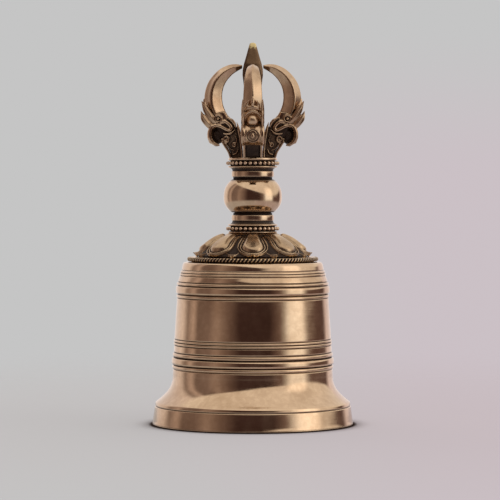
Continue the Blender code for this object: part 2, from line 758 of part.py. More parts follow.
def make_ball(material, pivot):
    """The striker: a ball bored for the shank."""
    bore = SHANK_FOOT_RADIUS + GAP
    reach = math.acos(bore / BALL_RADIUS)
    steps = 8
    outline = []
    for step in range(steps + 1):
        angle = between(-reach, reach, step / steps)
        outline.append((BALL_RADIUS * math.cos(angle), BALL_RADIUS * math.sin(angle)))
    bm = turned(outline, SMALL_SEGMENTS)
    return new_object("clapper_ball", bm, material, (0, 0, BALL_Z), parent=pivot)


def main():
    clear_scene()
    polished = metal("polished_bronze", (0.52, 0.34, 0.20), 0.18)
    antique = metal("antique_bronze", (0.34, 0.23, 0.13), 0.34)
    iron = metal("blackened_iron", (0.16, 0.14, 0.13), 0.5)
    brass = metal("clapper_brass", (0.58, 0.43, 0.20), 0.3)

    make_bowl(polished)
    make_rope_plate(antique)
    make_lotus_dome(antique)
    make_lower_collar(antique)
    make_bead_ring("lower_bead_ring", LOWER_COLLAR_Z + LOWER_SEAT + BEAD_SLOT / 2, antique)
    make_knob(polished)
    make_upper_collar(antique)
    upper_beads = UPPER_COLLAR_Z + UPPER_COLLAR_HEIGHT - UPPER_SEAT - BEAD_SLOT / 2
    make_bead_ring("upper_bead_ring", upper_beads, antique)
    make_spike(antique)
    make_prongs(antique)
    make_tie_rod(iron)
    make_washer(iron)
    make_nut(iron)

    stirrup_pivot = new_empty("stirrup_pivot", (0, 0, 0))
    make_stirrup(brass, stirrup_pivot)
    make_pin(iron, stirrup_pivot)
    clapper_pivot = new_empty("clapper_pivot", (0, 0, PIN_Z))
    make_clapper_rod(iron, clapper_pivot)
    make_ball(brass, clapper_pivot)


main()
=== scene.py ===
"""Bronze hand bell with a lotus dome, a round grip and a four-pronged vajra crown."""

import math

import bmesh
import bpy
import numpy as np
from mathutils import Matrix, Vector


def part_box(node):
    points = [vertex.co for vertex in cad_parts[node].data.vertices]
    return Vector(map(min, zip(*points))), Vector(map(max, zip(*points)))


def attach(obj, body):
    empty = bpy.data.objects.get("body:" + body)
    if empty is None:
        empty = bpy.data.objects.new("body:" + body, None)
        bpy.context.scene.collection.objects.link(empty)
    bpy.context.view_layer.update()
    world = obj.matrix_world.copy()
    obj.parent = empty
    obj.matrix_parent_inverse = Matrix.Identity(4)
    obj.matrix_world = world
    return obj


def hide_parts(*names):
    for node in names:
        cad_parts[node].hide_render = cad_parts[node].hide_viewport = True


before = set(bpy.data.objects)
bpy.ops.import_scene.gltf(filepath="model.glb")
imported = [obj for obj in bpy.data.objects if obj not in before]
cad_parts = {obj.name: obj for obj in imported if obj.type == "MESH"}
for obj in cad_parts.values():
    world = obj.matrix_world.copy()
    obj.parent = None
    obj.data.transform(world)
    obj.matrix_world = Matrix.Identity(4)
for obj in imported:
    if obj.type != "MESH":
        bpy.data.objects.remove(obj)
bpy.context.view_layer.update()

MM = 0.001

# ---------------------------------------------------------------- Camera
# A long lens a little above the middle of the bell, looking very slightly down.
# The bell stands just right of the middle of the frame.

camera_data = bpy.data.cameras.new("camera")
camera_data.sensor_width = 36.0
camera_data.lens = 178.4
camera_data.clip_start = 0.05
camera_data.clip_end = 50.0
camera = bpy.data.objects.new("camera", camera_data)
camera.location = (0.0, -1.17, 0.1115)
camera_target = Vector((-0.0013, 0.0, 0.0823))
camera.rotation_euler = (camera_target - camera.location).to_track_quat("-Z", "Y").to_euler()
bpy.context.scene.collection.objects.link(camera)
bpy.context.scene.camera = camera


# ---------------------------------------------------------------- Studio
# Pale paper floor, lit from below as well, that fades into an even pale backdrop. A tall
# soft box to the right, dimmer strips to the left, a wide soft light overhead and dark
# cards round the camera.


class Wire:
    """One value inside a node tree: arithmetic on it adds the matching Math node."""

    def __init__(self, tree, socket):
        self.tree = tree
        self.socket = socket

    def _math(self, operation, *values):
        node = Bench(self.tree).node("ShaderNodeMath", dict(enumerate(values)), operation=operation)
        return Wire(self.tree, node.outputs[0])

    def __add__(self, other):
        return self._math("ADD", self, other)

    def __radd__(self, other):
        return self._math("ADD", other, self)

    def __sub__(self, other):
        return self._math("SUBTRACT", self, other)

    def __rsub__(self, other):
        return self._math("SUBTRACT", other, self)

    def __mul__(self, other):
        return self._math("MULTIPLY", self, other)

    def __rmul__(self, other):
        return self._math("MULTIPLY", other, self)

    def __truediv__(self, other):
        return self._math("DIVIDE", self, other)

    def sine(self):
        return self._math("SINE", self)

    def cosine(self):
        return self._math("COSINE", self)

    def angle_from(self, other):
        return self._math("ARCTAN2", self, other)

    def clamped(self):
        clamp = self + 0.0
        clamp.socket.node.use_clamp = True
        return clamp

    def ramp(self, low, high):
        """Zero up to low, one from high on, and smooth between them."""
        sockets = {"Value": self, "From Min": low, "From Max": high}
        node = Bench(self.tree).node("ShaderNodeMapRange", sockets, interpolation_type="SMOOTHSTEP")
        return Wire(self.tree, node.outputs["Result"])


class Bench:
    """A node tree that nodes are laid out on."""

    def __init__(self, tree):
        self.tree = tree

    def node(self, kind, sockets=None, stops=(), **settings):
        """Adds a node: its settings and stops first, then its sockets' values or links."""
        node = self.tree.nodes.new(kind)
        for name, value in settings.items():
            setattr(node, name, value)
        if stops:
            elements = node.color_ramp.elements
            while len(elements) < len(stops):
                elements.new(0.5)
            for element, (place, colour) in zip(elements, stops):
                element.position = place
                element.color = (*colour, 1.0)
        for name, value in (sockets or {}).items():
            if isinstance(value, Wire):
                value = value.socket
            if isinstance(value, bpy.types.NodeSocket):
                self.tree.links.new(value, node.inputs[name])
            else:
                node.inputs[name].default_value = value
        return node

    def wire(self, kind, output, sockets=None, **settings):
        return Wire(self.tree, self.node(kind, sockets, **settings).outputs[output])

    def mix(self, share, first, second):
        """A colour between two colours."""
        first, second = ((*c, 1.0) if isinstance(c, tuple) else c for c in (first, second))
        node = self.node("ShaderNodeMix", {0: share, 6: first, 7: second}, data_type="RGBA")
        return node.outputs[2]


world = bpy.data.worlds.new("studio")
world.use_nodes = True
bpy.context.scene.world = world
studio = Bench(world.node_tree)
world.node_tree.nodes.clear()
direction = studio.node("ShaderNodeTexCoord").outputs["Generated"]
axes = studio.node("ShaderNodeSeparateXYZ", {"Vector": direction})
east, north, height = (Wire(world.node_tree, axes.outputs[i]) for i in range(3))
round_share = east.angle_from(0.0 - north) / math.tau + 0.5

# Light by compass bearing: 0.5 is behind the camera, 0.75 is to its right.
AROUND = (
    (0.00, (0.93, 0.86, 0.84)),
    (0.15, (0.94, 0.84, 0.80)),
    (0.185, (0.32, 0.25, 0.225)),
    (0.225, (0.66, 0.53, 0.48)),
    (0.25, (0.23, 0.17, 0.15)),
    (0.31, (0.27, 0.20, 0.18)),
    (0.345, (0.44, 0.34, 0.30)),
    (0.40, (0.23, 0.165, 0.145)),
    (0.445, (0.072, 0.042, 0.039)),
    (0.57, (0.062, 0.036, 0.033)),
    (0.615, (0.22, 0.15, 0.13)),
    (0.645, (0.86, 0.85, 0.81)),
    (0.72, (0.86, 0.85, 0.81)),
    (0.755, (0.165, 0.10, 0.088)),
    (0.86, (0.145, 0.092, 0.083)),
    (0.89, (1.0, 0.86, 0.85)),
    (1.00, (0.93, 0.86, 0.84)),
)
around = studio.node("ShaderNodeValToRGB", {"Fac": round_share}, AROUND).outputs["Color"]
overhead = (height + east * 0.42).ramp(0.42, 0.53)
low_down = (0.0 - height).ramp(0.12, 0.45)
lit = studio.mix(overhead, around, (1.04, 0.97, 0.88))
lit = studio.mix(low_down, lit, (0.56, 0.52, 0.51))
softbox_glow = round_share.ramp(0.63, 0.665) * (1.0 - round_share.ramp(0.715, 0.75))
softbox_glow = softbox_glow * (1.0 - height.ramp(0.35, 0.75)) * height.ramp(-0.25, -0.02)
strength = 1.0 + softbox_glow * 0.75
reflected = studio.node("ShaderNodeBackground", {"Color": lit, "Strength": strength})
blush = east.ramp(-0.04, 0.08) * (1.0 - height.ramp(0.0, 0.07))
paper = studio.mix(blush, (0.558, 0.558, 0.558), (0.597, 0.530, 0.562))
backdrop = studio.node("ShaderNodeBackground", {"Color": paper, "Strength": 1.0})
seen = studio.node("ShaderNodeLightPath").outputs["Is Camera Ray"]
both = studio.node(
    "ShaderNodeMixShader", {0: seen, 1: reflected.outputs[0], 2: backdrop.outputs[0]}
)
studio.node("ShaderNodeOutputWorld", {"Surface": both.outputs[0]})
bpy.context.scene.view_settings.view_transform = "Standard"

FLOOR_RADIUS = 3.0
UNDER_THE_BELL = 45.5 * MM  # the paper's hole, hidden by the bell, lets light inside it
floor_mesh = bpy.data.meshes.new("floor")
bm = bmesh.new()
for radius in (FLOOR_RADIUS, UNDER_THE_BELL):
    bmesh.ops.create_circle(bm, cap_ends=False, segments=96, radius=radius)
bmesh.ops.bridge_loops(bm, edges=bm.edges)
bm.faces.ensure_lookup_table()
if bm.faces[0].normal.z < 0:
    bmesh.ops.reverse_faces(bm, faces=bm.faces)
bm.to_mesh(floor_mesh)
bm.free()
floor = bpy.data.objects.new("floor", floor_mesh)
bpy.context.scene.collection.objects.link(floor)
floor_paper = bpy.data.materials.new("floor_paper")
floor_paper.use_nodes = True
bench = Bench(floor_paper.node_tree)
floor_paper.node_tree.nodes.clear()
place = bench.node("ShaderNodeTexCoord").outputs["Object"]
from_middle = bench.wire("ShaderNodeVectorMath", "Value", {0: place}, operation="LENGTH")
sideways = bench.wire("ShaderNodeSeparateXYZ", "X", {"Vector": place})
blush = sideways.ramp(-0.08, 0.12)
matte_colour = bench.mix(blush, (0.52, 0.54, 0.57), (0.55, 0.51, 0.57))
glow_colour = bench.mix(blush, (0.62, 0.60, 0.61), (0.65, 0.57, 0.61))
open_air = bench.wire("ShaderNodeAmbientOcclusion", "AO", {"Distance": 15.0 * MM}, samples=8)
# Painted contact shadow: the paper is darkened where the bell stands close, and in a thin ring
# hugging its lip, in the matte part and the glow alike.
painted_contact_shadow = open_air.ramp(0.45, 0.92)
painted_ring_shadow = from_middle.ramp(47.7 * MM, 49.9 * MM)
for share, shade in ((painted_contact_shadow, (0.06, 0.035, 0.03)), (painted_ring_shadow, (0.03, 0.018, 0.014))):
    matte_colour = bench.mix(share, shade, matte_colour)
    glow_colour = bench.mix(share, shade, glow_colour)
matte = bench.node("ShaderNodeBsdfDiffuse", {"Color": matte_colour})
glow = bench.node("ShaderNodeEmission", {"Color": glow_colour, "Strength": 1.0})
clear = bench.node("ShaderNodeBsdfTransparent")
lit_paper = bench.node("ShaderNodeMixShader", {0: 0.5, 1: matte.outputs[0], 2: glow.outputs[0]})
# The paper is there only from above, so that a view from below sees into the bell
below = bench.wire("ShaderNodeNewGeometry", "Backfacing")
fade = (from_middle.ramp(0.09, 0.55) + below).clamped()
ground = bench.node("ShaderNodeMixShader", {0: fade, 1: lit_paper.outputs[0], 2: clear.outputs[0]})
bench.node("ShaderNodeOutputMaterial", {"Surface": ground.outputs[0]})
floor_mesh.materials.append(floor_paper)


# ---------------------------------------------------------------- Bowl
# Cast bell bronze, turned on a lathe to a thin wall over a thick lip, with raised bands
# left round it. Polished, then browned, so the brown stays beside the bands.


def linked(name, mesh):
    piece = bpy.data.objects.new(name, mesh)
    bpy.context.scene.collection.objects.link(piece)
    return piece


def plain(piece):
    """The piece as its modifiers leave it, as a plain mesh under the same name."""
    bpy.context.view_layer.update()
    graph = bpy.context.evaluated_depsgraph_get()
    mesh = bpy.data.meshes.new_from_object(piece.evaluated_get(graph))
    name = piece.name
    bpy.data.objects.remove(piece, do_unlink=True)
    return linked(name, mesh)


def frozen(maker, tree, **values):
    """Runs a node tree on an object, with its named inputs set, and keeps the plain mesh."""
    modifier = maker.modifiers.new(tree.name, "NODES")
    modifier.node_group = tree
    for item in tree.interface.items_tree:
        if item.in_out == "INPUT" and item.name in values:
            modifier[item.identifier] = values[item.name]
    return plain(maker)


def new_tree(name, **inputs):
    """An empty geometry tree with named inputs: its bench and what comes in."""
    tree = bpy.data.node_groups.new(name, "GeometryNodeTree")
    for label, kind in {"Geometry": "Geometry", **inputs, "Metal": "Material"}.items():
        tree.interface.new_socket(label, in_out="INPUT", socket_type=f"NodeSocket{kind}")
    return Bench(tree), tree.nodes.new("NodeGroupInput").outputs


def end_tree(bench, skin, metal):
    """Smooths what a tree made, makes its copies real and gives it its metal."""
    tree = bench.tree
    smooth = bench.node("GeometryNodeSetShadeSmooth", {0: skin})
    solid = bench.node("GeometryNodeRealizeInstances", {0: smooth.outputs[0]})
    done = bench.node("GeometryNodeSetMaterial", {0: solid.outputs[0], "Material": metal})
    tree.interface.new_socket("Geometry", in_out="OUTPUT", socket_type="NodeSocketGeometry")
    tree.links.new(done.outputs[0], tree.nodes.new("NodeGroupOutput").inputs[0])
    return tree


LATHE_CORE = 1.0 * MM  # radius of the small circle that a profile is carried round


def make_lathe():
    bench, source = new_tree("lathe", Steps="Int")
    profile = bench.node("GeometryNodeMeshToCurve", {"Mesh": source["Geometry"]})
    path = bench.node(
        "GeometryNodeCurvePrimitiveCircle",
        {"Resolution": source["Steps"], "Radius": LATHE_CORE},
        mode="RADIUS",
    )
    skin = bench.node("GeometryNodeCurveToMesh", {0: path.outputs[0], 1: profile.outputs[0]})
    outward = bench.node("GeometryNodeFlipFaces", {"Mesh": skin.outputs["Mesh"]})
    return end_tree(bench, outward.outputs["Mesh"], source["Metal"])


lathe = make_lathe()


def rows_of(layer, field, width=3):
    """Reads one field of a mesh's points or edges, as rows of numbers."""
    values = np.empty(len(layer) * width)
    layer.foreach_get(field, values)
    return values.reshape(-1, width)


def mark(mesh, label, values):
    """Keeps one number for each point of a mesh, under a name that its metal reads."""
    layer = mesh.attributes.new(label, "FLOAT", "POINT")
    layer.data.foreach_set("value", np.asarray(values, dtype=np.float32))


def age(piece, fine=3, broad=30):
    """Marks each point by how sunk it is: 'hollow' close up, 'shelter' over a wider patch."""
    mesh = piece.data
    count = len(mesh.vertices)
    spots = rows_of(mesh.vertices, "co")
    normals = rows_of(mesh.vertices, "normal")
    edges = rows_of(mesh.edges, "vertices", 2).astype(int)
    ends = np.concatenate([edges[:, 0], edges[:, 1]])
    others = np.concatenate([edges[:, 1], edges[:, 0]])
    degree = np.maximum(np.bincount(ends, minlength=count), 1)[:, None]
    blurred = spots.copy()
    depths = {}
    for turn in range(1, broad + 1):
        total = [np.bincount(ends, weights=blurred[others, k], minlength=count) for k in range(3)]
        blurred = 0.5 * blurred + 0.5 * np.stack(total, 1) / degree
        if turn in (fine, broad):
            depths[turn] = ((blurred - spots) * normals).sum(1) / MM
    hollow = np.clip(depths[fine], -0.06, 0.3)
    # The lodged marks add dirt, and painted shade where a caller paints it.
    if "lodged_dirt_and_shade" in mesh.attributes:
        hollow += rows_of(mesh.attributes["lodged_dirt_and_shade"].data, "value", 1)[:, 0]
    mark(mesh, "hollow", hollow)
    mark(mesh, "shelter", np.clip(depths[broad], -0.3, 0.6))


def stained_and_shaded(piece, depth_at):
    """Lodges dirt, and painted shade where a caller paints it, in a piece, as a depth for each (out
    from the axis, height), in millimetres.
    """
    spots = rows_of(piece.data.vertices, "co") / MM
    mark(piece.data, "lodged_dirt_and_shade", depth_at(np.hypot(spots[:, 0], spots[:, 1]), spots[:, 2]))


def turned(name, outline, steps, metal):
    """A piece turned on the lathe from a closed outline of (radius, height) in metres."""
    points = [(radius - LATHE_CORE, -z, 0.0) for radius, z in outline]
    mesh = bpy.data.meshes.new(name)
    mesh.from_pydata(points, [(i, (i + 1) % len(points)) for i in range(len(points))], [])
    return frozen(linked(name, mesh), lathe, Steps=steps, Metal=metal)


def noise(bench, scale, detail=3.0, squash=None, roughness=0.55):
    """Noise in the piece's own space, drawn out along an axis where squash says so."""
    where = bench.node("ShaderNodeTexCoord").outputs["Object"]
    if squash:
        where = bench.node("ShaderNodeMapping", {"Vector": where, "Scale": squash}).outputs[0]
    sockets = {"Vector": where, "Scale": scale, "Detail": detail, "Roughness": roughness}
    return bench.wire("ShaderNodeTexNoise", "Fac", sockets)


def new_metal(name, crease):
    """A material's bench, how sunk each point is, and how tucked away it is within a crease."""
    metal = bpy.data.materials.new(name)
    metal.use_nodes = True
    bench = Bench(metal.node_tree)
    hollow = bench.wire("ShaderNodeAttribute", "Fac", attribute_name="hollow")
    open_air = bench.wire("ShaderNodeAmbientOcclusion", "AO", {"Distance": crease}, samples=6)
    return metal, bench, hollow, 1.0 - open_air


def end_metal(metal, bench, colour, rough, metallic, relief):
    """Joins what was worked out to the metal's shader."""
    shader = metal.node_tree.nodes["Principled BSDF"]
    sockets = {"Strength": 1.0, "Distance": 1.0 * MM, "Height": relief}
    bump = bench.wire("ShaderNodeBump", "Normal", sockets)
    metal.node_tree.links.new(colour, shader.inputs["Base Color"])
    for label, value in (("Roughness", rough), ("Metallic", metallic), ("Normal", bump)):
        metal.node_tree.links.new(value.socket, shader.inputs[label])
    return shader


def bronze(
    name,
    bright=(0.66, 0.488, 0.336),
    mid=(0.46, 0.318, 0.206),
    deep=(0.034, 0.019, 0.013),
    polish=0.14,
    hollow_gain=14.0,
    shelter_gain=1.2,
    crease=1.4 * MM,
    turned_marks=0.0,
    cast_skin=0.25,
    edge_wear=0.0,
):
    """Antique bronze: polished where hands and cloth reach, brown-black in what is sunk."""
    metal, bench, hollow, tucked = new_metal(name, crease)
    shelter = bench.wire("ShaderNodeAttribute", "Fac", attribute_name="shelter")
    drift = noise(bench, 55.0, 4.0)
    mottle = noise(bench, 420.0)
    # The dark mix is patina in hollows and creases, plus painted shade where a piece's lodged marks
    # paint it, such as the lip's contact line, the collars' grooves and the knob's ends.
    sunk = (hollow * hollow_gain + shelter * shelter_gain + tucked * 1.15).clamped()
    dirt = (sunk * (0.75 + 0.5 * mottle)).ramp(0.12, 0.75)
    rubbed = (0.0 - hollow * hollow_gain).clamped()
    tone = (drift.ramp(0.32, 0.68) * 0.7 + mottle.ramp(0.4, 0.7) * 0.3).clamped()
    skin = bench.mix(rubbed * 0.6, bench.mix(tone, mid, bright), bright)
    smudge = noise(bench, 150.0, 5.0, (1.0, 1.0, 0.6)).ramp(0.35, 0.75)
    marks = noise(bench, 900.0, 2.0, (0.05, 0.05, 1.0))
    rough = polish + smudge * 0.07 + marks * (0.04 * turned_marks) + dirt * 0.34
    rough = rough + rubbed * edge_wear
    relief = marks * (0.012 * turned_marks) + noise(bench, 260.0) * (0.05 * cast_skin)
    relief = relief + noise(bench, 38.0, 1.0) * 0.30
    colour = bench.mix(dirt, skin, deep)
    shader = end_metal(metal, bench, colour, rough, 1.0 - dirt * 0.85, relief)
    shader.inputs["Specular IOR Level"].default_value = 0.2
    return metal


BOWL_BORE = 2.8 * MM
BOWL_WALL = (  # (height, radius) of the wall without its bands, in millimetres
    (0.0, 47.5), (8.4, 46.3), (10.6, 45.9), (11.2, 45.2), (11.7, 44.5),
    (12.7, 43.3), (14.2, 41.6), (16.3, 39.7), (19.2, 38.3), (21.8, 37.85),
    (24.9, 37.8), (40.5, 37.0), (51.3, 36.35), (60.0, 35.75), (67.3, 35.55),
    (70.2, 34.4), (73.1, 33.5), (75.6, 33.1), (76.4, 32.6), (76.8, 31.6),
)
BOWL_BANDS = (  # (middle, half height, how proud, squareness), in millimetres
    (27.4, 0.75, 0.42, 2.0), (30.2, 1.55, 0.75, 5.0), (33.2, 0.8, 0.45, 2.0),
    (38.35, 0.55, 0.34, 2.0), (39.7, 0.5, 0.30, 2.0), (60.7, 0.6, 0.34, 2.0),
    (63.75, 1.75, 0.62, 5.0), (66.6, 0.6, 0.40, 2.0), (71.1, 0.5, 0.34, 2.0),
    (72.2, 0.5, 0.34, 2.0),
)
BOWL_CUTS = (  # (middle, half height, how deep): turned lines beside the bands
    (8.9, 0.30, 0.34), (26.35, 0.30, 0.30), (28.40, 0.28, 0.42), (32.05, 0.28, 0.42),
    (34.25, 0.30, 0.30), (37.55, 0.26, 0.28), (39.05, 0.20, 0.34), (40.45, 0.26, 0.28),
    (59.80, 0.28, 0.30), (61.60, 0.26, 0.38), (65.80, 0.26, 0.38), (67.45, 0.30, 0.30),
    (70.35, 0.22, 0.22), (71.65, 0.16, 0.26), (72.95, 0.22, 0.22),
)


def bowl_radius(z):
    """Outer radius of the bowl at a height, in millimetres."""
    heights, radii = zip(*BOWL_WALL)
    spread = min(1.6, max(0.0, 0.7 * (z - 11.4)), max(0.0, 0.7 * (76.0 - z)))
    nearby = [np.interp(z + spread * k / 6, heights, radii) for k in range(-6, 7)]
    radius = float(np.mean(nearby))
    for middle, half, proud, square in BOWL_BANDS:
        off = abs(z - middle) / half
        if off < 1:
            radius += proud * (1 - off**square) ** 0.5
    for middle, half, deep in BOWL_CUTS:
        off = abs(z - middle) / half
        if off < 1:
            radius -= deep * (1 - off**2)
    return radius


def bowl_levels():
    """Heights to turn the outside at: close together on the bands, wide apart between them."""
    levels = set(np.arange(11.0, 24.0, 0.45)) | set(np.arange(24.0, 76.0, 2.2))
    levels |= {0.9, 2.5, 4.5, 6.5, 8.3, 9.5, 10.2, 10.6, 10.9, 73.6, 74.6, 75.6, 76.1, 76.4, 76.65}
    levels |= set(np.arange(66.8, 71.0, 0.5))
    for middle, half, *_ in BOWL_BANDS + BOWL_CUTS:
        count = 9 if half < 1 else 15
        turns = np.linspace(-math.pi / 2, math.pi / 2, count)
        levels |= {middle + half * math.sin(turn) for turn in turns}
        levels |= {middle - half - 0.25, middle + half + 0.25}
    levels = sorted(levels)
    return [z for z, before in zip(levels, [-1.0] + levels) if z - before > 0.03]


LIP_ROUNDING = 0.55
BOWL_INSIDE = (  # (radius, height) from the crown's bore down the inner wall, in millimetres
    ((30.8, 76.8), (20.0, 76.8), (BOWL_BORE / MM, 76.8), (BOWL_BORE / MM, 72.8), (12.0, 72.8))
    + ((22.0, 72.75), (27.2, 72.5), (30.0, 71.5), (31.6, 69.9), (32.4, 67.6), (33.0, 64.0))
    + ((33.5, 58.0), (34.0, 50.0), (34.6, 40.0), (35.1, 30.0), (35.4, 22.8), (35.7, 19.5))
    + ((36.8, 16.5), (38.4, 14.4), (40.0, 12.7), (41.0, 11.0), (41.9, 8.0))
    + ((43.2, 4.0), (44.1, 1.2))
)
bowl_outline = [(44.4, 0.25), (44.6, 0.0)]
for turn in np.linspace(0, math.pi / 2, 4):
    inset, rise = LIP_ROUNDING * (1 - math.sin(turn)), LIP_ROUNDING * (1 - math.cos(turn))
    bowl_outline.append((BOWL_WALL[0][1] - inset, rise))
bowl_outline += [(bowl_radius(z), z) for z in bowl_levels()]
bowl_outline += BOWL_INSIDE
bowl_bronze = bronze(
    "bell_bronze", polish=0.085, hollow_gain=16.0, shelter_gain=1.4, turned_marks=1.0, cast_skin=0.1
)
bowl = turned("bell_bowl", [(r * MM, z * MM) for r, z in bowl_outline], 192, bowl_bronze)


def cut_patina_and_lip_shadow(out, height):
    dirt = sum(np.exp(-(((height - z) / (0.75 * half)) ** 2)) for z, half, deep in BOWL_CUTS)
    # Patina in the turned cuts; the bottom 0.75 mm of the lip's outside is painted contact shadow,
    # a dark line where the bell meets the floor.
    lip_contact_shadow = np.clip((0.75 - height) / 0.25, 0.0, 1.0) * (out > 44.0)
    return 0.014 * dirt * (out > 33.0) + 0.10 * lip_contact_shadow


stained_and_shaded(bowl, cut_patina_and_lip_shadow)
age(bowl, 2, 24)
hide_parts("bell_body")
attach(bowl, "bell")


# ---------------------------------------------------------------- Rope-edged plate
# A thin cast plate between the bowl and the lotus. Its rim is a rope of two strands
# laid round the edge, browned between the strands.

plate_low, plate_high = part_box("rope_plate")
SEAT = 0.28 * MM  # how far each piece of the stack comes down onto the one below
PLATE_MIDDLE = (plate_low[2] + plate_high[2]) / 2
ROPE_RING = plate_high[0] - 0.98 * MM
ROPE_LAY = 0.50 * MM  # from the middle of the rope to the middle of a strand
STRAND = 0.47 * MM
STRANDS = 2
LAY_TURNS = 54


def make_ropewalk():
    """One strand that winds round a ring: a circle carried along its own closed helix."""
    sizes = dict.fromkeys(("Ring", "Lay", "Strand", "Turns", "Phase", "Height"), "Float")
    bench, source = new_tree("ropewalk", **sizes)
    ring, lay, turns, phase, height = (
        Wire(bench.tree, source[label]) for label in ("Ring", "Lay", "Turns", "Phase", "Height")
    )
    steps = LAY_TURNS * 12
    circle = bench.node(
        "GeometryNodeCurvePrimitiveCircle", {"Resolution": steps, "Radius": 1.0}, mode="RADIUS"
    )
    bearing = bench.wire("GeometryNodeInputIndex", 0) * (math.tau / steps)
    twist = bearing * turns + phase
    radius = ring + lay * twist.cosine()
    spot = {"X": radius * bearing.cosine(), "Y": radius * bearing.sine()}
    position = bench.node("ShaderNodeCombineXYZ", {**spot, "Z": height + lay * twist.sine()})
    helix = bench.node(
        "GeometryNodeSetPosition", {0: circle.outputs[0], "Position": position.outputs[0]}
    )
    section = bench.node(
        "GeometryNodeCurvePrimitiveCircle",
        {"Resolution": 12, "Radius": source["Strand"]},
        mode="RADIUS",
    )
    strand = bench.node("GeometryNodeCurveToMesh", {0: helix.outputs[0], 1: section.outputs[0]})
    return end_tree(bench, strand.outputs[0], source["Metal"])


def merged(name, parts):
    """Joins pieces of one metal into one object."""
    bm = bmesh.new()
    for part in parts:
        bm.from_mesh(part.data)
    for face in bm.faces:
        face.material_index = 0
    mesh = bpy.data.meshes.new(name)
    bm.to_mesh(mesh)
    bm.free()
    mesh.materials.append(parts[0].data.materials[0])
    for part in parts:
        bpy.data.objects.remove(part, do_unlink=True)
    return linked(name, mesh)


def face_out(bm):
    """Turns every face of closed shells outwards."""
    bmesh.ops.recalc_face_normals(bm, faces=bm.faces)
    if bm.calc_volume(signed=True) < 0:
        bmesh.ops.reverse_faces(bm, faces=bm.faces)


plate_bronze = bronze(
    "plate_bronze", bright=(0.72, 0.54, 0.32), polish=0.20, hollow_gain=9.0, crease=0.9 * MM
)
ropewalk = make_ropewalk()
rope_parts = []
for strand in range(STRANDS):
    part = frozen(
        linked(f"strand_{strand}", bpy.data.meshes.new("strand")),
        ropewalk,
        Ring=ROPE_RING,
        Lay=ROPE_LAY,
        Strand=STRAND,
        Turns=float(LAY_TURNS),
        Phase=math.tau * strand / STRANDS,
        Height=PLATE_MIDDLE,
        Metal=plate_bronze,
    )
    bm = bmesh.new()
    bm.from_mesh(part.data)
    face_out(bm)
    bm.to_mesh(part.data)
    bm.free()
    rope_parts.append(part)
plate_rim = ROPE_RING - 0.2 * MM
plate_outline = [
    (BOWL_BORE, plate_low[2] - SEAT),
    (plate_rim - 1.0 * MM, plate_low[2] - SEAT),
    (plate_rim - 0.4 * MM, plate_low[2]),
    (plate_rim, plate_low[2] + 0.3 * MM),
    (plate_rim, plate_high[2] - 0.3 * MM),
    (plate_rim - 0.4 * MM, plate_high[2] - 0.1 * MM),
    (plate_rim - 1.6 * MM, plate_high[2] - 0.1 * MM),
    (plate_rim - 2.0 * MM, plate_high[2]),
    (BOWL_BORE, plate_high[2]),
]
plate_disc = turned("plate_disc", plate_outline, 128, plate_bronze)
plate = merged("rope_edged_plate", [plate_disc, *rope_parts])


def between_strands(out, height):
    core = np.hypot(out - ROPE_RING / MM, height - PLATE_MIDDLE / MM)
    return 0.3 * np.clip((0.955 - core) / 0.10, 0.0, 1.0) * (out > ROPE_RING / MM - 1.2)


stained_and_shaded(plate, between_strands)
age(plate, 2, 16)
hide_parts("rope_plate")
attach(plate, "bell")


# ---------------------------------------------------------------- Lotus dome
# One casting: a low dome under eight broad petals with a rim, a channel and a raised
# heart, and eight narrow petals whose points show between them. Brown-black in the cuts.

lotus_low, lotus_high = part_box("lotus_dome")
PETALS = 8
PETAL_ROWS = 52
PETAL_COLUMNS = 50
DOME_CURVE = (  # (radius, height) of a petal's crest from the beads to its tip, in millimetres
    (12.0, 90.15), (14.6, 89.75), (17.0, 88.9), (19.2, 87.75), (21.2, 86.4),
    (23.2, 84.85), (25.2, 83.2), (27.0, 81.7), (28.0, 80.8),
)


def eased(points, share):
    """A point on a smooth curve through the given ones, for a share from 0 to 1."""
    points = [np.array(point, dtype=float) for point in points]
    place = min(max(share, 0.0), 1.0) * (len(points) - 1)
    i = min(int(place), len(points) - 2)
    t = place - i
    before = points[i - 1] if i else 2 * points[0] - points[1]
    after = points[i + 2] if i + 2 < len(points) else 2 * points[-1] - points[-2]
    near, far = points[i], points[i + 1]
    return 0.5 * (
        2 * near
        + (far - before) * t
        + (2 * before - 5 * near + 4 * far - after) * t**2
        + (3 * near - before - 3 * far + after) * t**3
    )


def heading(points, share):
    """The direction of that smooth curve at a share from 0 to 1."""
    ahead = eased(points, min(share + 0.01, 1.0)) - eased(points, max(share - 0.01, 0.0))
    return ahead / np.linalg.norm(ahead)


def step_up(low, high, value):
    share = min(max((value - low) / (high - low), 0.0), 1.0)
    return share * share * (3 - 2 * share)


def petal_half_width(down, widest):
    """Half width of a petal along its length: broad, with a round end and a small point."""
    top, bottom = DOME_CURVE[0][1], DOME_CURVE[-1][1]
    fallen = (top - eased(DOME_CURVE, down)[1]) / (top - bottom)
    if fallen < 0.56:
        return widest * (0.58 + 0.42 * math.sin(math.pi * 0.5 * fallen / 0.56))
    close = min((fallen - 0.56) / 0.44, 1.0)
    return widest * (0.93 * math.sqrt(1 - close**2.1) + 0.07 * (1 - close))


def petal_relief(inside, down, heart):
    """A petal's height above the dome and its dirt, so far in from its edge, in millimetres."""

    def bump(middle, width):
        return math.exp(-(((inside - middle) / width) ** 2))

    rise = min(max((inside - 2.4) / 2.2, 0.0), 1.0)
    boss = 1.75 * (1 - (1 - rise) ** 2.0) * step_up(0.0, 0.1, down)
    relief = -0.05 + 1.0 * bump(0.50, 0.34) + 0.75 * heart * bump(1.80, 0.27)
    relief += boss if heart else 0.7 * step_up(0.7, 2.0, inside)
    dirt = bump(1.15, 0.26) + 0.8 * heart * bump(2.35, 0.2) + 0.9 * bump(0.0, 0.12)
    return relief, 0.095 * dirt + 0.16 * (1 - heart) * (inside > 0.75)


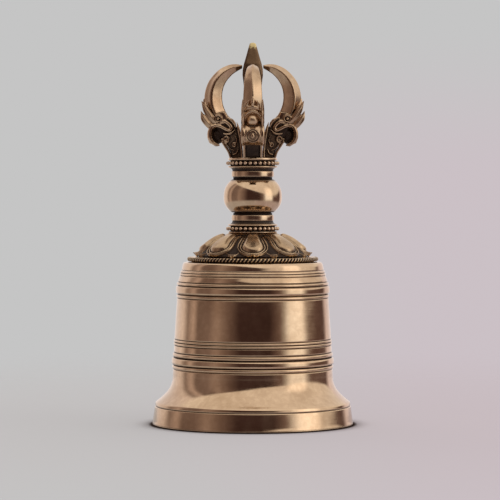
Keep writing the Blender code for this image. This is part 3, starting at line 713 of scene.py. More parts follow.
def petal_mesh(name, widest, sunk, heart, metal):
    """One closed petal facing -Y, thick enough to run into the dome under it."""
    shares = np.linspace(0.0, 1.0, 160) ** 0.8
    curve = np.array([eased(DOME_CURVE, float(share)) for share in shares])
    lengths = np.concatenate([[0.0], np.cumsum(np.hypot(*np.diff(curve, axis=0).T))])
    halves = np.array([petal_half_width(float(share), widest) for share in shares])
    outline = np.stack([halves, lengths], 1)
    points = []
    lodged_dirt_and_shade = []
    for layer in (1, 0):
        for row in range(PETAL_ROWS + 1):
            down = 1 - (1 - row / PETAL_ROWS) ** 1.8
            radius, height = eased(DOME_CURVE, down)
            slope = heading(DOME_CURVE, down)
            half = petal_half_width(down, widest)
            along = float(np.interp(down, shares, lengths))
            flick = (0.75 + 0.5 * (1 - heart)) * step_up(0.82, 1.0, down)
            for column in range(PETAL_COLUMNS + 1):
                across = 2 * column / PETAL_COLUMNS - 1
                across = 0.5 * across + 0.5 * math.sin(math.pi / 2 * across)
                aside = abs(half * across)
                inside = float(np.hypot(outline[:, 0] - aside, outline[:, 1] - along).min())
                inside *= 1.45 - 0.45 * step_up(0.0, 0.5, down)
                relief, dirt = petal_relief(inside, down, heart)
                lodged_dirt_and_shade.append(dirt * layer)
                lift = -2.4 - sunk
                if layer:
                    lift = relief - 1.35 - sunk + flick
                    lift -= 0.5 * (abs(across) ** 2) * (half / widest)
                out = np.array((-slope[1], slope[0]))
                spot = np.array((radius, height)) + out * lift
                angle = half * across / radius
                points.append((spot[0] * math.sin(angle), -spot[0] * math.cos(angle), spot[1]))
    width = PETAL_COLUMNS + 1
    size = (PETAL_ROWS + 1) * width
    faces = []
    for row in range(PETAL_ROWS):
        for column in range(PETAL_COLUMNS):
            a = row * width + column
            faces.append((a, a + width, a + width + 1, a + 1))
            faces.append((size + a, size + a + 1, size + a + width + 1, size + a + width))
    rim = list(range(width))
    rim += [row * width + PETAL_COLUMNS for row in range(1, PETAL_ROWS + 1)]
    rim += [PETAL_ROWS * width + column for column in range(PETAL_COLUMNS - 1, -1, -1)]
    rim += [row * width for row in range(PETAL_ROWS - 1, 0, -1)]
    for i, a in enumerate(rim):
        b = rim[(i + 1) % len(rim)]
        faces.append((a, b, size + b, size + a))
    mesh = bpy.data.meshes.new(name)
    mesh.from_pydata([tuple(c * MM for c in point) for point in points], [], faces)
    mark(mesh, "lodged_dirt_and_shade", lodged_dirt_and_shade)
    bm = bmesh.new()
    bm.from_mesh(mesh)
    bmesh.ops.remove_doubles(bm, verts=bm.verts, dist=0.002 * MM)
    face_out(bm)
    bm.to_mesh(mesh)
    bm.free()
    mesh.shade_smooth()
    mesh.materials.append(metal)
    return linked(name, mesh)


def make_ring_of():
    """Copies of the incoming mesh, turned about the bell's axis at even spacing."""
    bench, source = new_tree("ring_of", Count="Int", First_turn="Float")
    spots = bench.node(
        "GeometryNodeMeshLine", {"Count": source["Count"], "Offset": (0.0, 0.0, 0.0)}, mode="OFFSET"
    )
    count, first = (Wire(bench.tree, source[label]) for label in ("Count", "First_turn"))
    turn = bench.wire("GeometryNodeInputIndex", 0) * math.tau / count + first
    sockets = {"Points": spots.outputs[0], "Instance": source["Geometry"]}
    sockets["Rotation"] = bench.wire("ShaderNodeCombineXYZ", 0, {"Z": turn})
    copies = bench.node("GeometryNodeInstanceOnPoints", sockets)
    return end_tree(bench, copies.outputs[0], source["Metal"])


ring_of = make_ring_of()
lotus_bronze = bronze(
    "lotus_bronze",
    bright=(0.55, 0.40, 0.26),
    mid=(0.30, 0.205, 0.128),
    polish=0.22,
    hollow_gain=11.0,
    shelter_gain=2.6,
    crease=1.5 * MM,
    cast_skin=1.0,
)
petals = []
for name, widest, sunk, heart, first in (
    ("broad_petals", 7.75, 0.0, 1, 0.0),
    ("narrow_petals", 4.4, 1.0, 0, math.pi / PETALS),
):
    petal = petal_mesh(name, widest, sunk, heart, lotus_bronze)
    age(petal, 2, 14)
    petals.append(frozen(petal, ring_of, Count=PETALS, First_turn=first, Metal=lotus_bronze))
dome_foot = lotus_low[2] - SEAT
dome_outline = [(23.4 * MM, dome_foot), (25.4 * MM, dome_foot), (25.7 * MM, dome_foot + 0.7 * MM)]
for share in np.linspace(0.97, 0.0, 14):
    radius, height = eased(DOME_CURVE, float(share))
    dome_outline.append(((radius - 1.15) * MM, (height - 1.5) * MM))
dome_outline += [(10.8 * MM, lotus_high[2]), (BOWL_BORE, lotus_high[2])]
dome_outline += [(BOWL_BORE, lotus_high[2] - 3.0 * MM), (11.0 * MM, lotus_high[2] - 3.4 * MM)]
dome_outline += [(17.0 * MM, lotus_high[2] - 5.0 * MM), (21.0 * MM, lotus_high[2] - 7.6 * MM)]
dome = turned("lotus_base", dome_outline, 128, lotus_bronze)
stained_and_shaded(dome, lambda out, height: 0.4 * (out > 12.5))
age(dome, 2, 14)
lotus = merged("lotus_petals", [dome, *petals])
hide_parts("lotus_dome")
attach(lotus, "bell")


# ---------------------------------------------------------------- Bead rings
# Two rings of round beads, cast in one with the thin wire between them, that sit in the
# collars' grooves. Bright on the crowns, dark in between.

BEADS = 32
BEAD = 0.86 * MM
BEAD_WIRE = 0.38 * MM
bead_bronze = bronze(
    "bead_bronze", bright=(0.74, 0.55, 0.40), polish=0.15, hollow_gain=3.0, crease=0.8 * MM
)
for side in ("lower", "upper"):
    node = f"{side}_bead_ring"
    low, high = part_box(node)
    middle = (low[2] + high[2]) / 2
    ring = high[0] - 1.2 * MM
    bm = bmesh.new()
    bmesh.ops.create_icosphere(bm, subdivisions=3, radius=BEAD)
    bmesh.ops.translate(bm, verts=bm.verts, vec=(0.0, -ring, middle))
    bead_mesh = bpy.data.meshes.new("bead")
    bm.to_mesh(bead_mesh)
    bm.free()
    bead_mesh.shade_smooth()
    bead_mesh.materials.append(bead_bronze)
    beads = linked(f"{side}_beads", bead_mesh)
    beads = frozen(beads, ring_of, Count=BEADS, First_turn=math.pi / BEADS, Metal=bead_bronze)
    wire_outline = [
        (ring - 0.3 * MM + BEAD_WIRE * math.cos(turn), middle + BEAD_WIRE * math.sin(turn))
        for turn in np.linspace(0, math.tau, 12, endpoint=False)
    ]
    wire = turned(f"{side}_wire", wire_outline, 108, bead_bronze)
    stained_and_shaded(wire, lambda out, height: np.full_like(out, 0.4))
    age(beads, 2, 8)
    age(wire, 2, 8)
    beads = merged(f"{side}_beads", [beads, wire])
    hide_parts(node)
    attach(beads, "bell")


# ---------------------------------------------------------------- Beaded collars
# Two turned collars, one each way up. From the beads towards the grip each has a thin
# flange, a cove, a neck band and a deep groove.

collar_bronze = bronze(
    "collar_bronze", polish=0.13, hollow_gain=8.0, crease=1.1 * MM, turned_marks=0.7
)


def collar_outline(seat):
    """(radius, distance from the flange's far face towards the grip), in millimetres."""
    flange = seat + 2.7
    outline = [(2.8, 0.0), (11.2, 0.0), (11.5, 0.2), (11.55, seat - 0.2), (11.35, seat)]
    outline += [(10.5, seat), (10.5, flange), (11.3, flange)]
    outline += [(11.62, flange + 0.12), (11.7, flange + 0.35), (11.62, flange + 0.6)]
    outline += [(11.3, flange + 0.72), (11.1, flange + 0.8)]
    for turn in np.linspace(0.15, 1.0, 8):
        angle = math.pi / 2 * turn
        outline.append((11.1 - 1.5 * math.sin(angle), flange + 0.8 + 1.35 * (1 - math.cos(angle))))
    band = flange + 2.4
    outline += [(9.5, band - 0.12), (9.72, band), (9.92, band + 0.1), (9.97, band + 0.3)]
    outline += [(9.97, band + 1.2), (9.97, band + 2.3), (9.93, band + 2.5), (9.8, band + 2.6)]
    outline += [(9.3, band + 2.68), (9.2, band + 2.8), (9.2, band + 3.6), (2.8, band + 3.6)]
    return outline


for side, seat in (("lower", 0.6), ("upper", 1.2)):
    node = f"{side}_collar"
    low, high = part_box(node)
    outline = [(r * MM, low[2] + h * MM) for r, h in collar_outline(seat)]
    cove = low[2] / MM + seat + 4.5
    if side == "upper":
        outline = [(r * MM, high[2] - h * MM) for r, h in reversed(collar_outline(seat))]
        cove = high[2] / MM - seat - 4.5
    foot = min(z for r, z in outline)
    outline = [(r, z - SEAT * (z == foot)) for r, z in outline]
    collar = turned(f"{side}_beaded_collar", outline, 128, collar_bronze)

    def groove_patina_and_gap_shade(out, height):
        # Darker at the foot of the cove and patina on the bead seat; the deep groove by the grip is
        # painted dark as the shadowed gap where the knob meets the collar.
        shade = 0.10 * np.exp(-(((height - cove) / 0.75) ** 2)) * (out > 9.45) * (out < 11.2)
        shade += 0.12 * ((out < 10.7) & (out > 10.3))
        return shade + 0.3 * ((out < 9.48) & (out > 8.0))

    stained_and_shaded(collar, groove_patina_and_gap_shade)
    age(collar, 2, 12)
    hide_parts(node)
    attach(collar, "bell")


# ---------------------------------------------------------------- Grip knob
# A squat barrel, turned and polished smooth by the hand, a little fuller low down.

knob_low, knob_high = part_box("handle_knob")
KNOB_END = 9.65 * MM
KNOB_FULL = knob_high[0] + 0.15 * MM
knob_outline = [(BOWL_BORE, knob_low[2] - SEAT), (8.6 * MM, knob_low[2] - SEAT)]
knob_outline.append((8.7 * MM, knob_low[2]))
for turn in np.linspace(0, math.pi, 40):
    across = -math.cos(turn)
    bulge = (1 - abs(across) ** 2.5) ** 0.85
    lean = 1 - 0.022 * (across + 0.35) if across > -0.35 else 1.0
    height = knob_low[2] + (knob_high[2] - knob_low[2]) * (1 + across) / 2
    knob_outline.append((KNOB_END + (KNOB_FULL * lean - KNOB_END) * bulge, height))
knob_outline.append((BOWL_BORE, knob_high[2]))
knob_bronze = bronze(
    "knob_bronze",
    polish=0.085,
    hollow_gain=2.0,
    shelter_gain=0.5,
    # The wide crease lets ambient occlusion darken the knob's ends beside the collars, as painted
    # shade of the joints.
    crease=2.6 * MM,
    turned_marks=0.4,
)
knob = turned("grip_knob", knob_outline, 160, knob_bronze)
knob_middle = (knob_low[2] + knob_high[2]) / 2 / MM
KNOB_SHADE_START = (knob_high[2] - knob_low[2]) / 2 / MM - 0.4


def joint_shade_at_the_ends(out, height):
    # A dark band at each end is painted shade of the gap where the knob meets a collar; the knob
    # also gets darker over the 1.9 mm before each band.
    off = abs(height - knob_middle) - KNOB_SHADE_START
    return np.clip(off / 0.3, 0.0, 1.0) + 0.2 * np.clip((off + 1.9) / 1.9, 0.0, 1.0)


stained_and_shaded(knob, joint_shade_at_the_ends)
age(knob, 2, 12)
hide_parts("handle_knob")
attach(knob, "bell")


# ---------------------------------------------------------------- Central spike
# A four-sided spear with narrow chamfers that stands up through the prongs. Dark brown,
# and worn to yellow metal at the blunt tip.

spike_low, spike_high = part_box("central_spike")
SPIKE_WIDTHS = (  # (height above the crown's seat, half width), in millimetres
    (-0.28, 3.9), (20.0, 3.95), (32.0, 4.1), (36.0, 4.5), (38.6, 4.85),
    (41.0, 4.75), (44.0, 4.15), (47.5, 3.1), (50.5, 2.3), (52.4, 1.75),
    (53.4, 1.45), (53.75, 1.15), (53.9, 0.7),
)
SPIKE_CHAMFER = 0.24


def rounded_square(half, height):
    """A square section with chamfered, slightly softened corners."""
    flat = half * (1 - SPIKE_CHAMFER)
    soft = half * 0.035
    loop = []
    for quarter in range(4):
        turn = Matrix.Rotation(quarter * math.pi / 2, 4, "Z")
        side = [-flat + soft, -flat / 2, 0.0, flat / 2, flat - soft]
        loop += [turn @ Vector((half, y, height)) for y in side]
        loop.append(turn @ Vector((half - soft * 0.4, flat + soft * 0.4, height)))
        middle = (half + flat) / 2
        loop.append(turn @ Vector((middle, middle, height)))
        loop.append(turn @ Vector((flat + soft * 0.4, half - soft * 0.4, height)))
    return loop


def skinned(bm, loops):
    """Adds a closed skin over a row of loops to a mesh."""
    rings = [[bm.verts.new(point) for point in loop] for loop in loops]
    for near, far in zip(rings, rings[1:]):
        for i in range(len(near)):
            j = (i + 1) % len(near)
            bm.faces.new((near[i], near[j], far[j], far[i]))
    for ring, tip in ((rings[0], False), (rings[-1], True)):
        middle = sum((v.co for v in ring), Vector()) / len(ring)
        hub = bm.verts.new(middle)
        for i in range(len(ring)):
            pair = (ring[i], ring[(i + 1) % len(ring)])
            bm.faces.new((*(pair if tip else reversed(pair)), hub))


def finished(name, metal, *rows, sharp=None, bm=None):
    """Makes an object of closed skins over rows of loops, and of what is in bm already."""
    bm = bm or bmesh.new()
    for loops in rows:
        skinned(bm, loops)
    face_out(bm)
    mesh = bpy.data.meshes.new(name)
    bm.to_mesh(mesh)
    bm.free()
    mesh.shade_smooth()
    if sharp:
        mesh.set_sharp_from_angle(angle=math.radians(sharp))
    mesh.materials.append(metal)
    return linked(name, mesh)


heights = np.concatenate([np.linspace(-0.28, 32, 12), np.linspace(32.8, 53.9, 46)])
widths = [np.interp(h, *zip(*SPIKE_WIDTHS)) for h in heights]
loops = [rounded_square(w * MM, spike_low[2] + h * MM) for h, w in zip(heights, widths)]
spike_bronze = bronze(
    "spike_bronze",
    bright=(0.19, 0.118, 0.070),
    mid=(0.10, 0.060, 0.036),
    deep=(0.04, 0.022, 0.012),
    polish=0.26,
    hollow_gain=4.0,
    crease=1.4 * MM,
    cast_skin=1.6,
)
spike_nodes = Bench(spike_bronze.node_tree)
spike_shader = spike_bronze.node_tree.nodes["Principled BSDF"]
spot = spike_nodes.node("ShaderNodeTexCoord").outputs["Object"]
up = spike_nodes.wire("ShaderNodeSeparateXYZ", "Z", {"Vector": spot})
fray = spike_nodes.wire("ShaderNodeTexNoise", "Fac", {"Vector": spot, "Scale": 700.0})
worn = up + (fray - 0.5) * (4.0 * MM)
worn = worn.ramp(spike_high[2] - 2.6 * MM, spike_high[2] - 1.5 * MM)
brown = spike_shader.inputs["Base Color"].links[0].from_socket
spike_colour = spike_nodes.mix(worn, brown, (0.62, 0.50, 0.26))
spike_bronze.node_tree.links.new(spike_colour, spike_shader.inputs["Base Color"])
spike = finished("spear_spike", spike_bronze, loops, sharp=28)
age(spike, 2, 8)
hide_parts("central_spike")
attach(spike, "bell")


# ---------------------------------------------------------------- Prongs
# Four cast prongs. Each is an arm with engraved scrolls,
# a sea-beast's head with a ball nose, eyes and swept ears, and a ridged horn out of its brow.

HORN = (  # outer ridge and inner edge as (out, up), then half width
    ((4.9, 169.6), (5.0, 167.9), 0.5), ((8.2, 170.1), (7.4, 166.5), 1.9),
    ((11.8, 169.6), (9.6, 164.9), 2.8), ((16.3, 167.3), (12.0, 162.2), 3.6),
    ((20.6, 162.6), (13.6, 159.0), 4.3), ((22.7, 157.4), (14.3, 155.2), 4.65),
    ((23.1, 152.4), (13.9, 151.0), 4.9), ((22.0, 147.5), (12.4, 147.2), 4.9),
    ((19.8, 143.4), (10.2, 144.2), 4.5), ((17.6, 140.6), (9.0, 142.2), 3.9),
)
HORN_FLANK = 0.37  # where the horn is widest, from its ridge to its inner edge
HORN_INNER = 0.30  # half width of the inner edge, as a share of the widest
ARM = (  # outer edge and inner edge as (out, up), then half width
    ((10.0, 125.84), (5.0, 125.84), 4.2), ((10.7, 128.6), (5.2, 129.0), 4.2),
    ((12.4, 131.6), (5.7, 133.0), 4.2), ((14.6, 135.0), (6.3, 137.0), 4.2),
    ((17.0, 139.0), (7.6, 140.6), 4.4), ((19.2, 143.0), (10.4, 143.8), 4.55),
    ((19.8, 146.2), (12.6, 147.4), 4.4),
)


def horn_loops():
    loops = []
    for share in np.linspace(0, 1, 60):
        row = eased([(*o, *i, w) for o, i, w in HORN], float(share))
        ridge, inner, half = row[0:2], row[2:4], row[4]
        flank = ridge + (inner - ridge) * HORN_FLANK
        edge = half * HORN_INNER
        corners = [(ridge, 0.0), (flank, half), (inner, edge), (inner, -edge), (flank, -half)]
        loop = []
        for (spot, y), (after, after_y) in zip(corners, corners[1:] + corners[:1]):
            for part in np.linspace(0, 1, 10, endpoint=False):
                sag = 0.16 * math.sin(math.pi * part)
                mixed = spot + (after - spot) * part
                width = (y + (after_y - y) * part) * (1 - sag * 0.25)
                mixed = mixed + ((ridge + inner) / 2 - mixed) * sag * 0.35
                loop.append(Vector((mixed[0], width, mixed[1])) * MM)
        for _ in range(2):  # soften the edges
            after = loop[1:] + loop[:1]
            loop = [(loop[i - 1] + loop[i] * 2 + after[i]) / 4 for i in range(len(loop))]
        loops.append(loop)
    return loops


def squared(value, power):
    """Pulls a sine or cosine out towards a square corner."""
    return math.copysign(abs(value) ** power, value)


def arm_loops():
    loops = []
    for share in np.linspace(0, 1, 40):
        row = eased([(*o, *i, w) for o, i, w in ARM], float(share))
        outer, inner, half = row[0:2], row[2:4], row[4]
        loop = []
        for turn in np.linspace(0, math.tau, 36, endpoint=False):
            spot = (outer + inner) / 2 + (outer - inner) / 2 * squared(math.cos(turn), 0.35)
            across = half * squared(math.sin(turn), 0.35) * 0.93
            loop.append(Vector((spot[0], across, spot[1])) * MM)
        loops.append(loop)
    return loops


def vine(bm, path, widths, flat=1.0, sides=14, steps=None):
    """A tapering round rod along a smooth path of (out, across, up), in millimetres."""
    steps = steps or 8 * len(path)
    loops = []
    up = Vector((0.0, 1.0, 0.0))
    for share in np.linspace(0, 1, steps):
        spot = Vector(eased(path, float(share)))
        ahead = Vector(eased(path, min(float(share) + 0.01, 1.0)))
        behind = Vector(eased(path, max(float(share) - 0.01, 0.0)))
        along = (ahead - behind).normalized()
        radius = float(np.interp(share, np.linspace(0, 1, len(widths)), widths))
        side = along.cross(up)
        side = side.normalized() if side.length > 0.05 else Vector((1.0, 0.0, 0.0))
        lift = side.cross(along).normalized()
        loop = []
        for turn in np.linspace(0, math.tau, sides, endpoint=False):
            off = side * math.cos(turn) * radius + lift * math.sin(turn) * radius * flat
            loop.append((spot + off) * MM)
        loops.append(loop)
    skinned(bm, loops)


def ball(bm, centre, size):
    """An egg at (out, across, up) with its three half sizes, in millimetres."""
    made = bmesh.ops.create_icosphere(bm, subdivisions=3, radius=1.0)
    for vert in made["verts"]:
        vert.co = Vector([(c + v * s) * MM for c, v, s in zip(centre, vert.co, size)])


def scroll_path(centre, radius, turns, start):
    """A spiral of (out, up) that opens from its middle."""
    path = []
    for share in np.linspace(0, 1, int(10 * turns) + 2):
        angle = start + math.tau * turns * share
        reach = radius * (0.18 + 0.82 * share)
        path.append((centre[0] + reach * math.cos(angle), centre[1] + reach * math.sin(angle)))
    return path


prong_bronze = bronze(
    "prong_bronze",
    bright=(0.61, 0.44, 0.295),
    mid=(0.33, 0.215, 0.135),
    polish=0.11,
    hollow_gain=7.0,
    shelter_gain=1.3,
    crease=1.1 * MM,
    cast_skin=0.8,
    edge_wear=0.16,
)
bm = bmesh.new()
skinned(bm, horn_loops())
skinned(bm, arm_loops())
# Muzzle, ball nose, and the solid behind the rolled trunk
ball(bm, (17.0, 0.0, 144.0), (4.4, 4.7, 3.9))
ball(bm, (20.2, 0.0, 143.1), (2.75, 3.0, 2.75))
ball(bm, (16.6, 0.0, 136.2), (3.1, 3.7, 4.0))
ball(bm, (15.0, 0.0, 141.5), (3.0, 4.4, 3.0))
for side in (-1, 1):

    def flat(across, *spots):
        """A path of (out, up) that keeps one distance across, on this side."""
        return [(out, across * side, up) for out, up in spots]

    # Rails along the arm's edges
    vine(bm, [(10.4, 3.9 * side, 125.9), *flat(4.0, (11.3, 128.6), (13.1, 131.4)),
              (14.6, 4.1 * side, 133.6)], [0.62, 0.62, 0.6, 0.5])
    vine(bm, [(5.1, 3.9 * side, 125.9), *flat(4.0, (5.3, 130.0), (5.9, 135.0)),
              *flat(4.1, (6.6, 139.0), (7.5, 142.6))], [0.55, 0.55, 0.6, 0.75, 0.12])
    # Lip: from the eye down to the throat, then back under the muzzle
    vine(bm, flat(4.45, (14.6, 143.2), (12.6, 142.6), (10.9, 141.2), (10.2, 139.7), (10.9, 138.7),
                  (12.8, 139.3), (15.2, 140.5), (17.2, 140.9)),
         [0.55, 0.85, 0.9, 0.8, 0.75, 0.85, 0.9, 0.7])
    vine(bm, flat(4.45, (14.0, 137.2), (12.0, 136.9), (10.0, 137.4), (8.4, 139.0)),
         [0.3, 0.5, 0.5, 0.2])
    vine(bm, flat(4.45, (12.2, 144.7), (9.9, 143.4), (8.6, 141.8), (8.1, 140.0)),
         [0.35, 0.75, 0.7, 0.2])
    # Rolled trunk: its rim on each side
    vine(bm, flat(4.45, (16.9, 141.3), (19.0, 140.3), (20.1, 138.0), (20.1, 135.3), (18.9, 133.1),
                  (17.2, 132.0), (15.7, 131.8)), [0.7, 0.95, 1.15, 1.15, 0.95, 0.7, 0.35])
    # Eye: a ring round a small ball, with the brow running on from it
    ring = [(16.3 + 1.6 * math.cos(a), 144.1 + 1.6 * math.sin(a))
            for a in np.linspace(-0.4, math.tau + 0.2, 14)]
    vine(bm, flat(4.7, *ring), [0.48, 0.48, 0.4], steps=60)
    ball(bm, (16.3, 4.5 * side, 144.1), (0.8, 0.9, 0.8))
    vine(bm, flat(4.6, (17.7, 142.9), (15.6, 141.9), (13.4, 142.2)), [0.3, 0.6, 0.3])
    # Two swept feather ears, each with a raised quill
    for foot, belly, neck, tip in (
        ((17.3, 142.2), (19.5, 144.9), (22.0, 148.8), (24.1, 152.6)),
        ((18.4, 139.6), (20.9, 141.9), (23.0, 144.7), (24.4, 147.8)),
    ):
        path = flat(4.2, foot) + flat(4.45, belly, neck) + flat(4.2, tip)
        vine(bm, path, [1.0, 1.5, 1.2, 0.15], 0.55)
        vine(bm, [(x, y + 0.55 * side, z) for x, y, z in path], [0.2, 0.42, 0.34, 0.12])
        vine(bm, [(x + 0.9, y, z - 0.9) for x, y, z in path[:3]] + [path[3]], [0.3, 0.5, 0.45, 0.1])
    # Engraved scrolls on the arm's side
    for centre, radius, turns, start, ends, widths, steps in (
        ((12.6, 134.6), 1.9, 1.6, 2.6, ((12.0, 131.7), (10.4, 129.9), (8.6, 129.2)),
         [0.3, 0.4, 0.4, 0.36, 0.18], 80),
        ((8.6, 131.8), 1.25, 1.3, 0.4, ((7.6, 134.6), (8.6, 136.2)), [0.26, 0.36, 0.34, 0.16], 64),
    ):
        path = flat(4.15, *scroll_path(centre, radius, turns, start), *ends)
        vine(bm, path, widths, steps=steps)
    vine(bm, flat(4.15, (9.5, 127.2), (7.6, 128.1), (6.9, 129.9)), [0.2, 0.38, 0.16])
# Brows over the nose, and the palmette at the foot of the horn's ridge
vine(bm, [(19.4, -4.1, 143.8), (20.8, -3.1, 145.9), (21.6, 0.0, 147.2), (20.8, 3.1, 145.9),
          (19.4, 4.1, 143.8)], [0.55, 0.75, 0.85, 0.75, 0.55], steps=60)
vine(bm, [(19.9, -4.3, 146.7), (21.3, -3.0, 148.2), (22.1, 0.0, 149.0), (21.3, 3.0, 148.2),
          (19.9, 4.3, 146.7)], [0.6, 0.8, 0.95, 0.8, 0.6], steps=60)
vine(bm, [(21.9, 0.0, 149.2), (22.7, 0.0, 151.0), (23.1, 0.0, 153.6)], [0.9, 0.85, 0.2])
for side in (-1, 1):
    vine(bm, [(21.4, 2.4 * side, 148.8), (22.0, 2.7 * side, 150.4), (22.4, 1.9 * side, 152.2)],
         [0.8, 0.75, 0.2])
# The trunk's broad face, with a petal in two rings on it
trunk = ((16.6, 140.9), (18.9, 139.9), (20.0, 137.6), (19.9, 135.1), (18.7, 133.1), (16.6, 132.0))
loops = []
for share in np.linspace(0, 1, 34):
    out, up = eased(trunk, float(share))
    ahead = heading(trunk, float(share))
    half = 4.75 - 0.5 * step_up(0.55, 1.0, float(share))
    loop = []
    for turn in np.linspace(0, math.tau, 40, endpoint=False):
        a = squared(math.cos(turn), 0.7) * 1.1
        b = squared(math.sin(turn), 0.5) * half
        loop.append(Vector((out - ahead[1] * a, b, up + ahead[0] * a)) * MM)
    loops.append(loop)
skinned(bm, loops)
for reach, tall, width in ((3.2, 3.0, 0.40), (1.85, 2.15, 0.32)):
    ring = []
    for turn in np.linspace(0, math.tau, 25):
        up = 135.9 + tall * math.cos(turn)
        pinch = 1 - 0.2 * math.cos(turn)
        ring.append((21.0 - 0.075 * (up - 136.4) ** 2, reach * pinch * math.sin(turn), up))
    vine(bm, ring, [width, width], steps=72)
ball(bm, (20.9, 0.0, 135.7), (0.6, 0.75, 1.35))
for side in (-1, 1):
    for up in (133.2, 134.8, 136.4, 138.0):
        ball(bm, (20.6 - 0.07 * (up - 136.4) ** 2, 4.25 * side, up), (0.6, 0.6, 0.75))

PRONG_GRAIN = 0.185 * MM


def fused(piece, grain):
    """Gives a piece two modifiers that melt what was put together into one soft casting."""
    remesh = piece.modifiers.new("fused", "REMESH")
    remesh.mode = "VOXEL"
    remesh.voxel_size = grain
    soften = piece.modifiers.new("soften", "SMOOTH")
    soften.factor = 0.5
    soften.iterations = 2
    return piece


first = plain(fused(finished("prong_pattern", prong_bronze, bm=bm), PRONG_GRAIN))
prong_mesh = first.data
prong_mesh.shade_smooth()
prong_mesh.materials.clear()
prong_mesh.materials.append(prong_bronze)
out, across, up = rows_of(prong_mesh.vertices, "co").T / MM
across = np.abs(across)
dirt = 0.07 * ((across > 3.0) & (across < 4.28) & (up < 141.5) & (out < 17.5) & (out > 5.4))
dirt += 0.10 * ((across < 3.5) & (up < 131.6) & (out > 9.5))
nose = np.sqrt((out - 20.2) ** 2 + across**2 + (up - 143.1) ** 2)
dirt -= 0.35 * np.clip((3.5 - nose) / 0.3, 0.0, 1.0) * (up > 141.0)
dirt -= 0.10 * ((up > 140.8) & (out > 18.4) & (across < 4.0))
shield = np.hypot(across, (up - 135.8) * 1.03)
trench = ((shield > 2.35) & (shield < 2.95)) | ((shield > 1.05) & (shield < 1.6))
dirt += 0.06 * (trench & (out > 19.6) & (up < 139.6) & (up > 131.5))
dirt += 0.10 * ((across < 4.3) & (up > 132.0) & (up < 140.0) & (out > 13.5) & (out < 19.0))
mark(prong_mesh, "lodged_dirt_and_shade", dirt)
age(first, 3, 20)
for quarter, side in enumerate(("right", "back", "left", "front")):
    mesh = prong_mesh.copy()
    mesh.transform(Matrix.Rotation(quarter * math.pi / 2, 4, "Z"))
    prong = linked(f"beast_prong_{side}", mesh)
    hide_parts(f"prong_{side}")
    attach(prong, "bell")
bpy.data.objects.remove(first, do_unlink=True)


# ---------------------------------------------------------------- Tie rod, washer and nut
# One long steel bolt clamps the whole stack. Its threaded foot comes out under the bowl's
# crown, where a nut pulls up on a washer, and its domed head carries the stirrup.

rod_low, rod_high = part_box("tie_rod")
washer_low, washer_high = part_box("crown_washer")
nut_low, nut_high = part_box("crown_nut")
ROD = 2.5 * MM
ROD_HEAD = rod_high[0]
ROD_HEAD_TOP = rod_low[2] + 1.8 * MM
THREAD_PITCH = 0.8 * MM
THREAD_DEPTH = 0.28 * MM


def iron(name, bright, rust, rough):
    """Blackened steel: worn grey on the edges, with brown rust in the corners."""
    metal, bench, hollow, tucked = new_metal(name, 1.2 * MM)
    patches = noise(bench, 260.0, 5.0, roughness=0.5)
    rusty = (patches.ramp(0.50, 0.68) * 0.7 + hollow * 12.0 + tucked * 0.6).clamped()
    worn = (0.0 - hollow * 16.0).clamped()
    dark = tuple(channel * 0.45 for channel in bright)
    grain = noise(bench, 900.0, 2.0, roughness=0.5)
    colour = bench.mix(grain.ramp(0.3, 0.7), dark, bright)
    colour = bench.mix(worn * 0.7, colour, (0.42, 0.40, 0.38))
    colour = bench.mix(rusty, colour, rust)
    relief = patches * 0.10 + noise(bench, 1500.0, 2.0, roughness=0.5) * 0.03
    rough = rough + rusty * 0.3 - worn * 0.12
    end_metal(metal, bench, colour, rough, 1.0 - rusty * 0.75, relief)
    return metal


fastening_iron = iron("fastening_iron", (0.17, 0.155, 0.15), (0.075, 0.036, 0.018), 0.34)


def circle(reach, height, count=36):
    """A level ring of points about the bell's axis."""
    turns = np.linspace(0, math.tau, count, endpoint=False)
    return [Vector((reach * math.cos(turn), reach * math.sin(turn), height)) for turn in turns]


def threaded(foot, top, radius):
    """A rod with a screw thread cut round it, plain at both ends."""
    loops = []
    for height in np.linspace(foot, top, int((top - foot) / (THREAD_PITCH / 6)) + 1):
        ends = min((height - foot) / THREAD_PITCH, (top - height) / THREAD_PITCH, 1.0)
        loop = []
        for turn in np.linspace(0, math.tau, 36, endpoint=False):
            phase = (height / THREAD_PITCH - turn / math.tau) % 1.0
            reach = radius - THREAD_DEPTH * ends * abs(2 * phase - 1)
            loop.append(Vector((reach * math.cos(turn), reach * math.sin(turn), height)))
        loops.append(loop)
    return loops


loops = []
dome_top = ROD_HEAD_TOP - 0.25 * MM
for turn in np.linspace(0.06, math.pi / 2, 9):
    height = dome_top - (dome_top - rod_low[2]) * math.cos(turn)
    loops.append(circle(ROD_HEAD * math.sin(turn) ** 0.7, height))
loops += [circle(ROD_HEAD, ROD_HEAD_TOP - 0.12 * MM), circle(ROD_HEAD - 0.12 * MM, ROD_HEAD_TOP)]
loops += [circle(ROD, ROD_HEAD_TOP), circle(ROD, ROD_HEAD_TOP + 0.15 * MM)]
loops += threaded(ROD_HEAD_TOP + 1.2 * MM, washer_high[2] + 2.0 * MM, ROD)
loops.append(circle(ROD, spike_low[2] - 0.3 * MM))
rod = finished("stack_rod", fastening_iron, loops, sharp=40)
age(rod, 2, 8)
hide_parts("tie_rod")
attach(rod, "bell")

